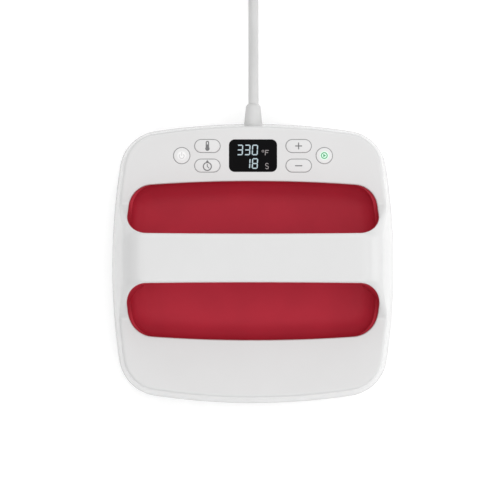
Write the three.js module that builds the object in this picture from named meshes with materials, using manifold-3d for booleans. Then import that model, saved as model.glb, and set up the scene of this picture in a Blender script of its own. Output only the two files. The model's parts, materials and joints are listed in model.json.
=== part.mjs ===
// A hand-held craft heat press: a square aluminium plate under a white two-part housing, with an arched
// handle over a crimson hand well, a rear control panel, and a mains lead wound up for storage.
// Millimetres, +Z up, front towards -Y. The origin is the middle of the plate's sole.
import * as THREE from "three";
import { mergeVertices } from "three/addons/utils/BufferGeometryUtils.js";
import Module from "manifold-3d";

const wasm = await Module();
wasm.setup();

const { Vector2, Vector3, Matrix4 } = THREE;
const { degToRad } = THREE.MathUtils;

// Fits that every piece shares
const gap = 0.3; // between two pieces that touch
const overrun = 4; // how far a cutter passes the face that it cuts
const screw = { radius: 1.5, headRadius: 2.9, headHeight: 2.2 };

// The housing: its plan at the widest rim, and its section
const housing = {
  width: 276,
  depth: 274.4,
  sideArc: 640,
  cornerArc: 41,
  footZ: 6,
  seamZ: 33,
  seamStep: 1,
  wall: 2.5,
  skirtTaper: 4,
  footRound: 2,
  leanAngle: degToRad(11),
  shoulder: 5,
  panelZ: 65.5,
  panelAngle: degToRad(3.5),
  tongue: 1.9,
  tongueWall: 1.4,
  bossY: 32,
  bossRadius: 4.4,
  postTop: 58,
  screwEntry: 16,
};

const handle = {
  width: 46.2,
  topZ: 121,
  thickness: 25,
  endRound: 18,
  crestFlat: 36,
  flareDepth: 116,
  flareSink: 0.3,
  legInset: 13,
  tunnelRound: 15,
  shellWall: 2.5,
  screwInset: 25,
  postRadius: 3.6,
  shellBoss: 2.5,
};

const well = {
  sideMargin: 18,
  depthShare: 0.559,
  rimArc: 1384,
  barArc: 8300,
  sideArc: 400,
  outerCornerShare: 0.41,
  barCornerShare: 0.3,
  floorZ: 46,
  roundShare: 0.91,
  lip: 3.4,
  flange: 4.6,
  wall: 2,
};

const wellWidth = housing.width - 2 * well.sideMargin;
const wellDepth = housing.depth * well.depthShare;
const pocketDepth = (wellDepth - handle.width) / 2;
const outerCorner = pocketDepth * well.outerCornerShare;
const barCorner = pocketDepth * well.barCornerShare;
const wallRound = outerCorner * well.roundShare;
const undersideZ = handle.topZ - handle.thickness;
const tunnelWidth = wellWidth - 2 * handle.legInset;
const gripScrewX = tunnelWidth / 2 - handle.screwInset;

const plate = { sideMargin: 23.7, endMargin: 22.9, cornerRadius: 18, height: 10, edge: 1.2 };
const plateWidth = housing.width - 2 * plate.sideMargin;
const plateDepth = housing.depth - 2 * plate.endMargin;
const plateBoss = { placeShare: 0.35, radius: 5 };
const opening = { margin: 2.5, upstand: 1.6, upstandTop: 18 };
const element = { thickness: 1.2, runWidth: 10, pitchShare: 0.14, endInset: 9.3, runs: 7 };
const mat = { inset: 1.3, bossMargin: 1, bodyMargin: 1.5 };
const shield = { thickness: 1, tabReach: 6.8, tabOffset: 62, tabRadius: 3.8, bossRadius: 3.4 };
const openingHalfWidth = plateWidth / 2 + opening.margin;
const openingHalfDepth = plateDepth / 2 + opening.margin;
const tabX = openingHalfWidth + opening.upstand + shield.tabReach;
const tabY = openingHalfDepth + opening.upstand + shield.tabReach;
const probe = { x: 0, y: 16, width: 8, depth: 12, height: 5 };
const cutout = { x: 42, y: -16, radius: 8, height: 5.4, capRadius: 5, capHeight: 1.4 };

// The control panel, in its own frame: u to the right, v up the panel, w out of its face
const panel = { centreShare: 0.42 };
const panelY = wellDepth / 2 + ((housing.depth - wellDepth) / 2) * panel.centreShare;
const lens = { width: 46, height: 31.4, corner: 5.3, thickness: 2.5 };
const display = { width: 50, height: 32 };
const pillKey = { width: 24.1, height: 11.9, corner: 5.9, offsetU: 44.1, offsetV: 9.4 };
const roundKey = { radius: 7.65, offsetU: 68.9 };
const key = {
  play: 0.7,
  edge: 0.4,
  proud: 0.3,
  body: 3.5,
  flange: 0.7,
  flangeReach: 1.4,
  stemRadius: 1.8,
  stemEnter: 0.3,
  travel: 0.8,
};
const keySwitch = { side: 6.2, height: 2.6, boreRadius: 2.3 };
const board = { width: 172, height: 30, drop: 9.5, thickness: 1.6 };
const boardPost = { u: 81, v: 11, radius: 2.5 };

// The supply's parts, in the bay behind the well
const bay = { forward: 2.1, capacitorBack: 6, terminalBack: 1 };
const bayY = panelY - bay.forward;
const tray = { x: -8, y: bayY, width: 156, depth: 33, thickness: 2 };
const trayPost = { height: 3.6, radius: 3, inset: 5 };
const supply = { width: 150, depth: 31, thickness: 1.6 };
const relay = { x: -62, y: bayY, width: 19, depth: 16, height: 15.5 };
const transformer = { x: -30, y: bayY, width: 30, depth: 24, height: 17, coreWidth: 14 };
const capacitor = {
  x: -2,
  y: bayY + bay.capacitorBack,
  radius: 6.5,
  height: 18,
  groove: 0.6,
  grooveZ: 3,
};
const sink = { x: 24, y: bayY, width: 26, base: 3, finHeight: 14, fin: 1.6, fins: 6, depth: 22 };
const buzzer = { u: 58, radius: 6, height: 5.5, portRadius: 1.2, portDepth: 1.5 };
const terminal = {
  x: 54,
  y: bayY + bay.terminalBack,
  width: 26,
  depth: 16,
  height: 11,
  ways: 3,
  boreRadius: 2,
};

// The mains lead, its relief and its plug
const relief = {
  x: 0.5,
  z: 46,
  wallRadius: 9.3,
  tipRadius: 7.85,
  endRadius: 5.9,
  reach: 17.6,
  chamfer: 2.9,
  flangeRadius: 10.3,
  flange: 1.5,
  barrelRadius: 5.4,
  barrel: 10.5,
};
const clamp = { width: 30, depth: 7, topZ: 53.4, screwPlace: 10.2, towerWall: 2.6, screwEntry: 8 };
const cord = { radius: 5, length: 1800, sides: 10, stepLength: 12 };
const coil = { turns: 4.25, play: 0.6, frontInset: 48, tail: 56, loopSteps: 24, sides: 6 };
const tie = { thickness: 0.8, width: 12, angle: degToRad(225), play: 0.9, innerTurn: 0.5, outerTurn: 1.5 };
const plug = {
  neckRadius: 6.4,
  neck: 14,
  halfWidth: 13.4,
  halfHeight: 12,
  roundPower: 2,
  shoulderPower: 2.6,
  bodyPower: 3.6,
  length: 33,
  faceInset: 1.2,
  bladeWidth: 6.3,
  bladeThickness: 1.5,
  bladeLength: 17.5,
  bladeSpacing: 12.7,
  bladeRise: 3.2,
  pinRadius: 2.4,
  pinLength: 20.5,
  pinDrop: 8.2,
  tip: 1.4,
};

// How the free lead runs behind its relief, as distance and share of its height at the relief: straight
// out, down under its own weight, then along the surface
const leadRoute = [
  [0, 1],
  [9.4, 0.995],
  [19.4, 0.97],
  [29.4, 0.915],
  [39.4, 0.822],
  [49.4, 0.697],
  [59.4, 0.549],
  [69.4, 0.393],
  [79.4, 0.253],
  [89.4, 0.138],
  [99.4, 0.06],
  [109.4, 0.018],
  [119.4, 0.003],
  [133.4, 0],
  [149.4, 0],
  [165.4, 0],
  [177.4, 0],
];

const arcSteps = { side: 6, corner: 6, round: 3, rod: 12, bore: 8, flare: 8 };

const finish = (color, roughness, metalness = 0) =>
  new THREE.MeshStandardMaterial({ color, roughness, metalness });
const finishes = {
  white: finish(0xe4e4e4, 0.32),
  crimson: finish(0xa22b3b, 0.5),
  keyWhite: finish(0xe6e6e6, 0.35),
  lens: finish(0x131314, 0.1),
  cordWhite: finish(0xdedede, 0.55),
  aluminium: finish(0xb9bbbe, 0.35, 0.9),
  steel: finish(0x9a9c9e, 0.4, 0.9),
  galvanised: finish(0xa9adb0, 0.5, 0.8),
  mica: finish(0xb08a5a, 0.6),
  fibre: finish(0xe9e4d6, 0.95),
  board: finish(0x1f6b3a, 0.55),
  black: finish(0x1b1b1c, 0.5),
  yellow: finish(0xd8b23a, 0.5),
  blue: finish(0x27467a, 0.45),
  brass: finish(0xc9a65a, 0.35, 0.9),
};

const press = new THREE.Group();

// Solids

function asSolid(geometry) {
  const bare = new THREE.BufferGeometry().setAttribute("position", geometry.getAttribute("position"));
  if (geometry.index) bare.setIndex(geometry.index);
  const merged = mergeVertices(bare);
  return new wasm.Manifold(
    new wasm.Mesh({
      numProp: 3,
      vertProperties: merged.attributes.position.array,
      triVerts: merged.index.array,
    }),
  );
}

function asGeometry(solid) {
  const mesh = solid.getMesh();
  const shared = new THREE.BufferGeometry()
    .setAttribute("position", new THREE.BufferAttribute(mesh.vertProperties, mesh.numProp))
    .setIndex(new THREE.BufferAttribute(mesh.triVerts, 1));
  const faceted = shared.toNonIndexed();
  faceted.computeVertexNormals();
  return faceted;
}

function piece(name, solid, material, parent = press) {
  const mesh = new THREE.Mesh(asGeometry(solid), material);
  mesh.name = name;
  parent.add(mesh);
  return mesh;
}

const quarterTurn = Math.PI / 2;
const fullTurn = 2 * Math.PI;
const join = (solids) => solids.reduce((all, one) => all.add(one));
const cut = (solid, cutters) => cutters.reduce((rest, one) => rest.subtract(one), solid);

function box(x, y, z, width, depth, height) {
  return asSolid(new THREE.BoxGeometry(width, depth, height).translate(x, y, z + height / 2));
}

function rod(x, y, z, radius, height, sides = arcSteps.rod) {
  const upright = new THREE.CylinderGeometry(radius, radius, height, sides).rotateX(quarterTurn);
  return asSolid(upright.translate(x, y, z + height / 2));
}

function prism(outline, z, height) {
  const shape = new THREE.Shape(outline);
  const straight = { depth: height, bevelEnabled: false, curveSegments: arcSteps.round };
  return asSolid(new THREE.ExtrudeGeometry(shape, straight).translate(0, 0, z));
}

// An outline in x and z, extruded along y between two places
function prismAlongY(outline, y, length) {
  const turned = new Matrix4().makeBasis(new Vector3(1, 0, 0), new Vector3(0, 0, 1), new Vector3(0, -1, 0));
  const straight = { depth: length, bevelEnabled: false };
  const geometry = new THREE.ExtrudeGeometry(new THREE.Shape(outline), straight).applyMatrix4(turned);
  return asSolid(geometry.translate(0, y + length, 0));
}

// An outline in y and z, extruded along x, centred on x = 0
function prismAlongX(outline, length) {
  const turned = new Matrix4().makeBasis(new Vector3(0, 1, 0), new Vector3(0, 0, 1), new Vector3(1, 0, 0));
  const straight = { depth: length, bevelEnabled: false };
  const geometry = new THREE.ExtrudeGeometry(new THREE.Shape(outline), straight).applyMatrix4(turned);
  return asSolid(geometry.translate(-length / 2, 0, 0));
}

// A solid skinned over closed rings of equal count, lowest first. A ring that is alike left and right
// may rise and fall along y: its cap is then made of strips that run from side to side.
function loft(rings, capFaces = flatCap) {
  const count = rings[0].length;
  const last = (rings.length - 1) * count;
  const faces = [];
  for (let start = 0; start < last; start += count) {
    for (let i = 0; i < count; i++) {
      const a = start + i;
      const b = start + ((i + 1) % count);
      faces.push(a, b, b + count, a, b + count, a + count);
    }
  }
  for (const [a, b, c] of capFaces(rings[0])) faces.push(a, c, b);
  for (const [a, b, c] of capFaces(rings.at(-1))) faces.push(last + a, last + b, last + c);
  return asSolid(new THREE.BufferGeometry().setFromPoints(rings.flat()).setIndex(faces));
}

function flatCap(ring) {
  return THREE.ShapeUtils.triangulateShape(
    ring.map((p) => new Vector2(p.x, p.y)),
    [],
  );
}

function stripCap(ring) {
  const count = ring.length;
  const faces = [];
  for (let i = 0; i < count / 2; i++) {
    const left = (count - i) % count;
    if (i > 0) faces.push([i, i + 1, left]);
    if (i + 1 < count / 2) faces.push([i + 1, count - i - 1, left]);
  }
  return faces;
}

// Outlines

function arcPoints(x, y, radius, from, to, steps) {
  const points = [];
  for (let i = 0; i < steps; i++) {
    const angle = from + ((to - from) * i) / steps;
    points.push(new Vector2(x + radius * Math.cos(angle), y + radius * Math.sin(angle)));
  }
  return points;
}

// The middle of a corner arc that touches two bowed sides from within
function cornerCentre(side, end, radius, up) {
  const reachSide = side.radius - radius;
  const reachEnd = end.radius - radius;
  const across = new Vector2(end.x - side.x, end.y - side.y);
  const apart = across.length();
  const along = (reachSide ** 2 - reachEnd ** 2 + apart ** 2) / (2 * apart);
  const off = Math.sqrt(reachSide ** 2 - along ** 2);
  across.normalize();
  const centre = (turn) =>
    new Vector2(
      side.x + across.x * along - turn * across.y * off,
      side.y + across.y * along + turn * across.x * off,
    );
  const [a, b] = [centre(1), centre(-1)];
  return a.x + up * a.y > b.x + up * b.y ? a : b;
}

// A closed outline of four bowed sides and four corner arcs, alike left and right, anticlockwise.
// inset moves it inwards along its normals, and a negative inset grows it.
function contour(form, inset = 0) {
  const side = { x: form.right - form.sideArc, y: (form.rear + form.front) / 2, radius: form.sideArc };
  const rear = { x: 0, y: form.rear - form.rearArc, radius: form.rearArc };
  const front = { x: 0, y: form.front + form.frontArc, radius: form.frontArc };
  const rearCorner = cornerCentre(side, rear, form.rearCorner, 1);
  const frontCorner = cornerCentre(side, front, form.frontCorner, -1);
  const bearing = (from, to) => Math.atan2(to.y - from.y, to.x - from.x);
  const turns = [
    -quarterTurn,
    bearing(front, frontCorner),
    bearing(side, frontCorner),
    bearing(side, rearCorner),
    bearing(rear, rearCorner),
    quarterTurn,
  ];
  const arc = (centre, radius, i, steps) =>
    arcPoints(centre.x, centre.y, radius - inset, turns[i], turns[i + 1], steps);
  const half = [
    ...arc(front, form.frontArc, 0, arcSteps.side / 2),
    ...arc(frontCorner, form.frontCorner, 1, arcSteps.corner),
    ...arc(side, form.sideArc, 2, arcSteps.side),
    ...arc(rearCorner, form.rearCorner, 3, arcSteps.corner),
    ...arc(rear, form.rearArc, 4, arcSteps.side / 2),
  ];
  const mirrored = half.slice(1).reverse();
  return [...half, new Vector2(0, form.rear - inset), ...mirrored.map((p) => new Vector2(-p.x, p.y))];
}

const ring = (form, inset, heightAt) =>
  contour(form, inset).map((p) => new Vector3(p.x, p.y, heightAt(p.y)));

function roundedRectangle(width, height, radius, x = 0, y = 0) {
  const right = x + width / 2 - radius;
  const left = x - width / 2 + radius;
  const top = y + height / 2 - radius;
  const bottom = y - height / 2 + radius;
  const corners = [
    [right, bottom, -quarterTurn],
    [right, top, 0],
    [left, top, quarterTurn],
    [left, bottom, Math.PI],
  ];
  return corners.flatMap(([cx, cy, start]) => [
    ...arcPoints(cx, cy, radius, start, start + quarterTurn, arcSteps.round),
    ...arcPoints(cx, cy, radius, start + quarterTurn, start + Math.PI, 1),
  ]);
}

// The housing's outlines and heights

const bodyForm = {
  right: housing.width / 2,
  rear: housing.depth / 2,
  front: -housing.depth / 2,
  sideArc: housing.sideArc,
  rearArc: housing.sideArc,
  frontArc: housing.sideArc,
  rearCorner: housing.cornerArc,
  frontCorner: housing.cornerArc,
};
const wellForm = {
  right: wellWidth / 2,
  rear: wellDepth / 2,
  front: -wellDepth / 2,
  sideArc: well.sideArc,
  rearArc: well.rimArc,
  frontArc: well.rimArc,
  rearCorner: outerCorner,
  frontCorner: outerCorner,
};
const rearPocket = {
  right: wellWidth / 2,
  rear: wellDepth / 2,
  front: handle.width / 2,
  sideArc: well.sideArc,
  rearArc: well.rimArc,
  frontArc: well.barArc,
  rearCorner: outerCorner,
  frontCorner: barCorner,
};
const frontPocket = {
  ...rearPocket,
  rear: -rearPocket.front,
  front: -rearPocket.rear,
  rearArc: well.barArc,
  frontArc: well.rimArc,
  rearCorner: barCorner,
  frontCorner: outerCorner,
};

const leanTan = Math.tan(housing.leanAngle);
const leanCos = Math.cos(housing.leanAngle);
const leanSin = Math.sin(housing.leanAngle);
const panelTan = Math.tan(housing.panelAngle);
const insetAt = (z) => housing.seamStep + (z - housing.seamZ) * leanTan;
const panelHeight = (y) => housing.panelZ - Math.max(0, Math.abs(y) - wellDepth / 2) * panelTan;
const lipZ = housing.panelZ - well.lip;
const rimZ = lipZ - gap;
const wallTop = handle.topZ + overrun;
const coverFoot = (skin) => (skin ? housing.seamZ - overrun : housing.seamZ + gap);

// The cover's box under its panels, with a rounded shoulder
function roof(skin) {
  const turnZ = housing.panelZ - housing.shoulder * (1 - leanSin);
  const centreInset = insetAt(turnZ) + housing.shoulder * leanCos;
  const radius = housing.shoulder - skin;
  const foot = coverFoot(skin);
  const rings = [ring(bodyForm, insetAt(foot) + skin / leanCos, () => foot)];
  for (let i = 0; i <= arcSteps.round; i++) {
    const angle = housing.leanAngle + ((quarterTurn - housing.leanAngle) * i) / arcSteps.round;
    const rise = radius * Math.sin(angle) - housing.shoulder;
    rings.push(ring(bodyForm, centreInset - radius * Math.cos(angle), (y) => panelHeight(y) + rise));
  }
  return loft(rings, stripCap);
}

const mirrorOutline = (half) => [...half, ...half.map((p) => new Vector2(-p.x, p.y)).reverse()];

// The handle's arch: leaning walls, under a rounded crest, under a saddle that falls to the panels
function arch(skin) {
  const foot = coverFoot(skin);
  const leaning = (z) => ring(bodyForm, insetAt(z) + skin / leanCos, () => z);
  const walls = loft([leaning(foot), leaning(wallTop)]);

  const wallLine = (housing.width / 2 - housing.seamStep) * leanCos + housing.seamZ * leanSin;
  const centreZ = handle.topZ - handle.endRound;
  const centreX = (wallLine - handle.endRound - centreZ * leanSin) / leanCos;
  const radius = handle.endRound - skin;
  const touch = new Vector2(centreX + radius * leanCos, centreZ + radius * leanSin);
  const far = housing.width / 2 + overrun;
  const crest = mirrorOutline([
    new Vector2(far, foot),
    new Vector2(far, touch.y),
    ...arcPoints(centreX, centreZ, radius, housing.leanAngle, quarterTurn, arcSteps.corner),
    new Vector2(centreX, handle.topZ - skin),
  ]);

  const low = housing.panelZ - handle.flareSink - skin;
  const high = handle.topZ - skin;
  const from = handle.crestFlat / 2 - skin;
  const to = handle.flareDepth / 2 - skin;
  const saddleHalf = [new Vector2(to, foot)];
  for (let i = arcSteps.flare; i >= 0; i--) {
    const share = i / arcSteps.flare;
    const fall = (1 + Math.cos(Math.PI * share)) / 2;
    saddleHalf.push(new Vector2(from + (to - from) * share, low + (high - low) * fall));
  }
  return walls
    .intersect(prismAlongY(crest, -housing.depth / 2, housing.depth))
    .intersect(prismAlongX(mirrorOutline(saddleHalf), housing.width));
}

// The space under the handle, in x and z; grow widens it by a shell's thickness
function tunnelOutline(grow) {
  const radius = handle.tunnelRound + grow;
  const half = tunnelWidth / 2 + grow;
  const top = undersideZ + grow;
  return mirrorOutline([
    new Vector2(half, well.floorZ - overrun),
    ...arcPoints(half - radius, top - radius, radius, 0, quarterTurn, arcSteps.corner),
    new Vector2(half - radius, top),
  ]);
}

// The well's surface as a solid, from its floor up; inset shrinks it by a wall or a clearance
function wellSpace(inset, top) {
  const rings = [];
  for (let i = 0; i <= arcSteps.round; i++) {
    const angle = quarterTurn * (1 - i / arcSteps.round);
    const drop = (rimZ - well.floorZ) * Math.sin(angle);
    const run = wallRound * (1 - Math.cos(angle));
    rings.push(ring(wellForm, inset + run, () => rimZ - drop + inset));
  }
  rings.push(ring(wellForm, inset, () => top));
  return loft(rings);
}

// The control panel's own frame
const panelFrame = new THREE.Group();
panelFrame.position.set(0, panelY, panelHeight(panelY));
panelFrame.rotation.x = -housing.panelAngle;
panelFrame.updateMatrix();
press.add(panelFrame);
const onPanel = (solid) => solid.transform(panelFrame.matrix.elements);

const roundOutline = (radius, u = 0, v = 0) => arcPoints(u, v, radius, 0, fullTurn, 2 * arcSteps.rod);
const pillOutline = (grow, u, v) =>
  roundedRectangle(
    pillKey.width + 2 * grow,
    pillKey.height + 2 * grow,
    pillKey.corner + grow,
    u,
    v,
  );
const keys = [
  { name: "power", u: -roundKey.offsetU, v: 0, outline: roundOutline, size: roundKey.radius },
  { name: "temperature", u: -pillKey.offsetU, v: pillKey.offsetV, outline: pillOutline, size: 0 },
  { name: "timer", u: -pillKey.offsetU, v: -pillKey.offsetV, outline: pillOutline, size: 0 },
  { name: "plus", u: pillKey.offsetU, v: pillKey.offsetV, outline: pillOutline, size: 0 },
  { name: "minus", u: pillKey.offsetU, v: -pillKey.offsetV, outline: pillOutline, size: 0 },
  { name: "start", u: roundKey.offsetU, v: 0, outline: roundOutline, size: roundKey.radius },
];
const boardTop = -board.drop;
const switchTop = boardTop + gap + keySwitch.height;
const signs = [
  [-1, -1],
  [1, -1],
  [1, 1],
  [-1, 1],
];
const housingBosses = signs.map(([x, y]) => [x * tabX, y * housing.bossY]);

// Pieces

function topCover() {
  const wall = housing.wall;
  const high = wallTop - housing.footZ;
  const pockets = [rearPocket, frontPocket];
  const band = (form, grow, z, height) => prism(contour(form, -grow), z, height);
  const barDepth = handle.width + wall;
  const tunnel = prismAlongY(tunnelOutline(0), -barDepth / 2, barDepth);

  const lips = pockets.map((form) => band(form, wall, lipZ, high));
  const hollow = cut(roof(wall).add(arch(wall)), lips);
  const shell = cut(roof(0).add(arch(0)), [hollow, tunnel]);

  const legReach = handle.width / 2 + barCorner;
  const legWidth = (housing.width - tunnelWidth) / 2;
  const legZ = well.floorZ + gap;
  const legs = [-1, 1].map((side) =>
    box((side * (tunnelWidth + legWidth)) / 2, 0, legZ, legWidth, 2 * legReach, lipZ + gap - legZ),
  );
  const foot = join(pockets.map((form) => band(form, wall, legZ, lipZ + gap - legZ)))
    .intersect(join(legs))
    .intersect(wellSpace(gap, lipZ + gap));

  const posts = housingBosses.map(([x, y]) =>
    rod(x, y, housing.seamZ + gap, housing.bossRadius, housing.postTop - housing.seamZ - gap),
  );
  const postBores = housingBosses.map(([x, y]) =>
    rod(
      x,
      y,
      housing.seamZ - overrun,
      screw.radius + gap,
      housing.postTop - housing.seamZ,
      arcSteps.bore,
    ),
  );
  const gripTop = undersideZ + handle.shellWall + handle.shellBoss + gap;
  const gripPosts = [-1, 1].map((side) =>
    rod(side * gripScrewX, 0, gripTop, handle.postRadius, handle.topZ - wall / 2 - gripTop),
  );
  const gripBores = [-1, 1].map((side) =>
    rod(
      side * gripScrewX,
      0,
      gripTop - overrun,
      screw.radius + gap,
      handle.topZ - 2 * wall - gripTop + overrun,
      arcSteps.bore,
    ),
  );
  const boardPosts = signs.map(([u, v]) =>
    onPanel(
      rod(
        u * boardPost.u,
        v * boardPost.v,
        boardTop + gap,
        boardPost.radius,
        board.drop - gap - wall / 2,
      ),
    ),
  );
  const keyHoles = keys.map(({ u, v, outline, size }) =>
    onPanel(prism(outline(size + key.play, u, v), -wall - overrun, wall + 2 * overrun)),
  );
  const window = onPanel(
    prism(
      roundedRectangle(lens.width + 2 * gap, lens.height + 2 * gap, lens.corner + gap),
      -wall - overrun,
      wall + 2 * overrun,
    ),
  );
  const reliefHole = prismAlongY(
    roundOutline(relief.wallRadius + gap, relief.x, relief.z),
    housing.depth / 2 - insetAt(relief.z) - 2 * wall,
    3 * wall,
  );
  return cut(join([shell, foot, ...posts, ...gripPosts, ...boardPosts]), [
    ...pockets.map((form) => band(form, 0, housing.footZ, high)),
    ...postBores,
    ...gripBores,
    ...keyHoles,
    window,
    reliefHole,
  ]);
}

function gripLowerShell() {
  const depth = handle.width - 2 * (housing.wall + gap);
  const strap = prismAlongY(tunnelOutline(handle.shellWall), -depth / 2, depth);
  const inner = prismAlongY(tunnelOutline(0), -depth, 2 * depth);
  const above = box(0, 0, rimZ - gap, housing.width, depth + overrun, handle.topZ - rimZ);
  const shell = strap.subtract(inner).intersect(wellSpace(gap, rimZ).add(above));
  const sides = [-1, 1];
  const bosses = sides.map((side) =>
    rod(
      side * gripScrewX,
      0,
      undersideZ + handle.shellWall / 2,
      screw.headRadius + gap + handle.shellWall / 2,
      handle.shellWall / 2 + handle.shellBoss,
    ),
  );
  const bores = sides.flatMap((side) => [
    rod(
      side * gripScrewX,
      0,
      undersideZ - overrun,
      screw.radius + gap,
      3 * overrun,
      arcSteps.bore,
    ),
    rod(
      side * gripScrewX,
      0,
      undersideZ - overrun,
      screw.headRadius + gap,
      overrun + screw.headHeight + gap,
    ),
  ]);
  return cut(join([shell, ...bosses]), bores);
}

function handWell() {
  const outer = wellSpace(-well.wall, rimZ);
  const inner = wellSpace(0, rimZ + overrun);
  const flange = prism(contour(wellForm, -well.flange), rimZ - well.wall, well.wall);
  return outer.add(flange).subtract(inner);
}

// The plate's outline, grown on every side
const plateOutline = (grow) =>
  roundedRectangle(plateWidth + 2 * grow, plateDepth + 2 * grow, plate.cornerRadius + grow);
const upstandOutline = plateOutline(opening.margin + opening.upstand);
// The shield has one tab on each side, set off from the middle: its outward direction, then its place
const tabs = [
  [-1, 0],
  [0, -1],
  [1, 0],
  [0, 1],
].map(([outX, outY]) => ({
  outX,
  outY,
  x: outX * tabX - outY * shield.tabOffset,
  y: outY * tabY - outX * shield.tabOffset,
}));

function skirt(skin) {
  const { footZ, seamZ, skirtTaper, footRound } = housing;
  const rise = seamZ - footZ;
  const rings = [];
  for (let i = 0; i <= arcSteps.round; i++) {
    const angle = (quarterTurn * i) / arcSteps.round;
    const inset = skirtTaper + footRound * (1 - Math.sin(angle));
    rings.push(ring(bodyForm, inset + skin, () => footZ + skin + footRound * (1 - Math.cos(angle))));
  }
  const lower = (fall) => skirtTaper * fall ** 2;
  for (let i = 1; i <= arcSteps.round; i++) {
    const share = i / arcSteps.round;
    const z = footZ + footRound + (rise - footRound) * share;
    rings.push(ring(bodyForm, lower(1 - share) + skin, () => z));
  }
  if (skin) rings.push(ring(bodyForm, skin, () => seamZ + overrun));
  return loft(rings);
}

function baseHousing() {
  const { footZ, seamZ, wall, bossRadius } = housing;
  const deck = footZ + wall;
  const shell = skirt(0).subtract(skirt(wall));
  const tongueInset = insetAt(seamZ + housing.tongue) + wall / leanCos + gap;
  const tongueCore = prism(
    contour(bodyForm, tongueInset + housing.tongueWall),
    deck,
    seamZ + housing.tongue + overrun - deck,
  );
  const tongue = join([
    prism(contour(bodyForm, tongueInset), seamZ - wall, wall + housing.tongue),
    prism(contour(bodyForm, wall / 2), seamZ - 2 * wall, 2 * wall - gap),
  ]).subtract(tongueCore);
  const upstand = prism(upstandOutline, footZ, opening.upstandTop - footZ);
  const bosses = housingBosses.map(([x, y]) => rod(x, y, footZ, bossRadius, seamZ - footZ));
  const tabBosses = tabs.map(({ x, y }) =>
    rod(x, y, deck - wall / 2, shield.bossRadius, opening.upstandTop - deck + wall / 2),
  );
  const tower = box(
    relief.x,
    towerY + clamp.depth / 2,
    deck - wall / 2,
    clamp.width,
    clamp.depth,
    relief.z - gap - deck + wall / 2,
  );
  const towerFoot = box(
    relief.x,
    towerY + clamp.depth / 2 + clamp.towerWall,
    deck - wall / 2,
    clamp.towerWall,
    clamp.depth + clamp.towerWall,
    seamZ - deck,
  ).intersect(skirt(wall / 2));
  const plateHole = prism(plateOutline(opening.margin), footZ - overrun, seamZ - footZ + overrun);
  const screwBores = housingBosses.flatMap(([x, y]) => [
    rod(x, y, footZ - overrun, screw.radius + gap, seamZ + overrun, arcSteps.bore),
    rod(x, y, footZ - overrun, screw.headRadius + gap, overrun + 2 * wall),
  ]);
  const tabBores = tabs.map(({ x, y }) =>
    rod(x, y, deck, screw.radius + gap, opening.upstandTop, arcSteps.bore),
  );
  const barrelBore = prismAlongY(
    roundOutline(relief.barrelRadius + gap, relief.x, relief.z),
    towerY - overrun,
    clamp.depth + 2 * overrun,
  );
  const clampBores = [-1, 1].map((side) =>
    rod(
      relief.x + side * clamp.screwPlace,
      towerY + clamp.depth / 2,
      relief.z - 2 * screw.headRadius - overrun,
      screw.radius + gap,
      clamp.topZ,
      arcSteps.bore,
    ),
  );
  return cut(join([shell, upstand, tongue, ...bosses, ...tabBosses, tower, towerFoot]), [
    plateHole,
    ...screwBores,
    ...tabBores,
    barrelBore,
    ...clampBores,
  ]);
}

const plateRing = (grow, z) => plateOutline(grow).map((p) => new Vector3(p.x, p.y, z));
const bossPlaces = signs.map(([x, y]) => [
  x * plateBoss.placeShare * plateWidth,
  y * plateBoss.placeShare * plateDepth,
]);
const shieldZ = opening.upstandTop + gap;
const shieldTop = shieldZ + shield.thickness;
const elementZ = plate.height + gap;
const matZ = elementZ + element.thickness + gap;

function heatPlate() {
  const { height, edge } = plate;
  const slab = loft([
    plateRing(-edge, 0),
    plateRing(0, edge),
    plateRing(0, height - edge),
    plateRing(-edge, height),
  ]);
  const bossTop = shieldZ - gap;
  const bosses = bossPlaces.map(([x, y]) =>
    rod(x, y, height / 2, plateBoss.radius, bossTop - height / 2),
  );
  const bores = bossPlaces.map(([x, y]) =>
    rod(x, y, height / 2, screw.radius + gap, bossTop, arcSteps.bore),
  );
  return cut(join([slab, ...bosses]), bores);
}

// A flat element folded back and forth, one run after another
function heatingElement() {
  const { thickness, runWidth, pitchShare, endInset, runs } = element;
  const length = plateWidth - 2 * endInset;
  const pitch = plateDepth * pitchShare;
  const rowY = (row) => (row - (runs - 1) / 2) * pitch;
  const strips = [];
  for (let row = 0; row < runs; row++) {
    strips.push(box(0, rowY(row), elementZ, length, runWidth, thickness));
    if (row === 0) continue;
    const end = ((row % 2 ? 1 : -1) * (length - runWidth)) / 2;
    strips.push(box(end, rowY(row) - pitch / 2, elementZ, runWidth, pitch, thickness));
  }
  return join(strips);
}

function insulationMat() {
  const height = shieldZ - gap - matZ;
  const pad = prism(plateOutline(-mat.inset), matZ, height);
  const tall = height + 2 * overrun;
  return cut(pad, [
    ...bossPlaces.map(([x, y]) => rod(x, y, matZ - overrun, plateBoss.radius + mat.bossMargin, tall)),
    box(
      probe.x,
      probe.y,
      matZ - overrun,
      probe.width + 2 * mat.bodyMargin,
      probe.depth + 2 * mat.bodyMargin,
      tall,
    ),
    rod(cutout.x, cutout.y, matZ - overrun, cutout.radius + mat.bodyMargin, tall),
  ]);
}

function heatShield() {
  const { thickness, tabRadius } = shield;
  const sheet = prism(upstandOutline, shieldZ, thickness);
  const ears = tabs.flatMap(({ x, y, outX, outY }) => {
    const width = 2 * tabRadius;
    return [
      rod(x, y, shieldZ, tabRadius, thickness),
      box(x - outX * tabRadius, y - outY * tabRadius, shieldZ, width, width, thickness),
    ];
  });
  const places = [...tabs.map(({ x, y }) => [x, y]), ...bossPlaces];
  const holes = places.map(([x, y]) =>
    rod(x, y, shieldZ - overrun, screw.radius + gap, thickness + 2 * overrun, arcSteps.bore),
  );
  return cut(join([sheet, ...ears]), holes);
}

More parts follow.
